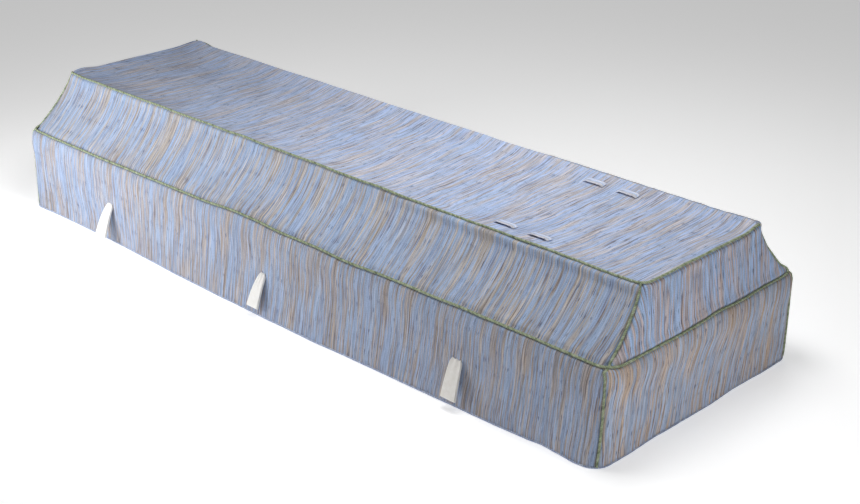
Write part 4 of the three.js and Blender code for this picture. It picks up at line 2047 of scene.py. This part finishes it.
@dataclass
class LidLoops:
    """Four flat loops of the cloth, sewn on the lid's top."""

    lid: Lid
    length: float = 0.054
    width: float = 0.016
    thick: float = 0.0018
    lift: float = 0.0032
    sewn_lift: float = 0.0006
    ramp: float = 0.009
    from_midline: float = 0.156
    first_x: float = 0.564
    pitch: float = 0.093
    stagger: float = 0.008
    length_steps: int = 36
    width_steps: int = 12

    def build_one(self, number: int, x: float, y: float, finishes: Wardrobe) -> bpy.types.Object:
        """Makes one loop.

        Args:
            number: Which loop.
            x: The middle of it along the coffin.
            y: The middle of it across.
            finishes: The materials.

        Returns:
            The piece.
        """
        mesh, column, row = gridded(f"Lid_loop_{number}", self.length_steps, self.width_steps)
        along = (column / self.length_steps * 2 - 1) * self.length / 2
        across = (row / self.width_steps * 2 - 1) * self.width / 2
        lift = self.lift * smoothstep(self.length / 2 - np.abs(along), 0, self.ramp)
        x, y = x + along, y + across
        move_to(mesh, x, y, self.lid.top_z(x, y) + self.sewn_lift + lift)
        corners = loop_vertices(mesh)
        set_map(mesh, across[corners], along[corners])
        with edited(mesh) as bm:
            bmesh.ops.solidify(bm, geom=bm.faces[:], thickness=-self.thick)
            bmesh.ops.recalc_face_normals(bm, faces=bm.faces)
            for face in bm.faces:
                face.smooth = True
        return placed(mesh, [finishes.loop], "loop_cloth", f"lid_loop_{number}")

    def build(self, finishes: Wardrobe) -> list[bpy.types.Object]:
        """Makes all four loops.

        Args:
            finishes: The materials.

        Returns:
            The pieces.
        """
        made = []
        for side in (-1, 1):
            for place in (0, 1):
                x = self.first_x + place * self.pitch - side * self.stagger
                number = len(made) + 1
                made.append(self.build_one(number, x, side * self.from_midline, finishes))
        return made


# Room and camera


def linked(name: str, data: bpy.types.ID) -> bpy.types.Object:
    """Puts a mesh, a light or a camera in the scene.

    Args:
        name: Its name.
        data: The mesh, light or camera.

    Returns:
        The object.
    """
    made = bpy.data.objects.new(name, data)
    bpy.context.scene.collection.objects.link(made)
    return made


def facing_along(way: Vector) -> tuple[float, float, float]:
    """The rotation of a light or a camera that looks along a direction."""
    return way.to_track_quat("-Z", "Y").to_euler()


@dataclass(frozen=True)
class Softbox:
    """One soft studio light."""

    name: str
    place: tuple[float, float, float]
    aim_x: float
    size: float
    power: float
    aim_z: float = 0.15

    def build(self) -> None:
        """Hangs the light, aimed at the coffin's midline."""
        light = bpy.data.lights.new(self.name, "AREA")
        light.shape = "SQUARE"
        light.size = self.size
        light.energy = self.power
        lamp = linked(self.name, light)
        lamp.location = self.place
        lamp.rotation_euler = facing_along(Vector((self.aim_x, 0.0, self.aim_z)) - Vector(self.place))
        lamp.visible_camera = False


@dataclass
class Studio:
    """A pale floor, soft lights and the camera."""

    azimuth: float = 44.572
    elevation: float = 24.0237
    distance: float = 3.3447
    aim: tuple[float, float, float] = (0.3334, -0.1378, 0.2)
    lens: float = 63.005
    sensor: float = 36.0
    fill: float = 0.045
    floor_tone: float = 0.88
    floor_glow: float = 0.455
    floor_reach: float = 12.0
    lights: tuple[Softbox, ...] = (
        Softbox("Near left", (-0.88, -1.2, 0.60), -0.28, 0.7, 12.7),
        Softbox("Overhead", (0.5, -0.25, 1.8), 0.18, 0.8, 16.0),
        Softbox("Narrow end", (1.7, -0.34, 0.6), 0.63, 0.7, 2.5),
        Softbox("Far side", (0.2, 1.2, 1.6), 0.07, 0.8, 4.4),
        Softbox("Low overhead", (0.2, 0.1, 1.3), 0.07, 0.6, 2.3),
    )

    def build(self) -> None:
        """Sets up the floor, the lights, the fill and the camera."""
        self.floor()
        for light in self.lights:
            light.build()
        world = bpy.data.worlds.new("Studio")
        world.use_nodes = True
        background = world.node_tree.nodes["Background"]
        background.inputs["Color"].default_value = (1.0, 1.0, 1.0, 1.0)
        background.inputs["Strength"].default_value = self.fill
        bpy.context.scene.world = world
        self.camera()

    def floor(self) -> None:
        """Lays the floor, which glows a little so that it stays pale."""
        mesh = bpy.data.meshes.new("Floor")
        with edited(mesh) as bm:
            bmesh.ops.create_grid(bm, x_segments=1, y_segments=1, size=self.floor_reach)
        material = bpy.data.materials.new("Pale floor")
        material.use_nodes = True
        shader = material.node_tree.nodes["Principled BSDF"]
        shader.inputs["Base Color"].default_value = (*(self.floor_tone,) * 3, 1.0)
        shader.inputs["Roughness"].default_value = 0.9
        shader.inputs["Emission Color"].default_value = (1.0, 1.0, 1.0, 1.0)
        shader.inputs["Emission Strength"].default_value = self.floor_glow
        mesh.materials.append(material)
        floor = linked("Floor", mesh)
        floor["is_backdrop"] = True

    def camera(self) -> None:
        """Puts the camera where the photograph was taken from."""
        turn, rise = math.radians(self.azimuth), math.radians(self.elevation)
        back = Vector(
            (math.sin(turn) * math.cos(rise), -math.cos(turn) * math.cos(rise), math.sin(rise))
        )
        data = bpy.data.cameras.new("Camera")
        data.sensor_fit = "HORIZONTAL"
        data.sensor_width = self.sensor
        data.lens = self.lens
        data.clip_start = 0.05
        data.clip_end = 60.0
        camera = linked("Camera", data)
        camera.location = Vector(self.aim) + back * self.distance
        camera.rotation_euler = facing_along(-back)
        bpy.context.scene.camera = camera
        bpy.context.scene.view_settings.view_transform = "Standard"


def main() -> None:
    """Builds the coffin and its studio."""
    logging.basicConfig(level=logging.INFO, format="%(name)s %(message)s")
    cad_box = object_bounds()
    Studio().build()
    finishes = Wardrobe()
    lid = Lid()
    box = Box(lid)
    made = [box.build(finishes), lid.build(finishes)]
    made += Piping(lid, box).build(finishes)
    made.append(Hem(box).build(finishes))
    made += LidLoops(lid).build(finishes)
    slack = Slack()
    for piece in made:
        slack.settle(piece.data)
    made += Handles(box).build(finishes)
    for piece in made:
        report(piece)
    visual_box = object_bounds()
    boxes = {"cad": cad_box, "visual": visual_box}
    {key: np.array(value).tolist() for key, value in boxes.items()}


if __name__ == "__main__":
    main()
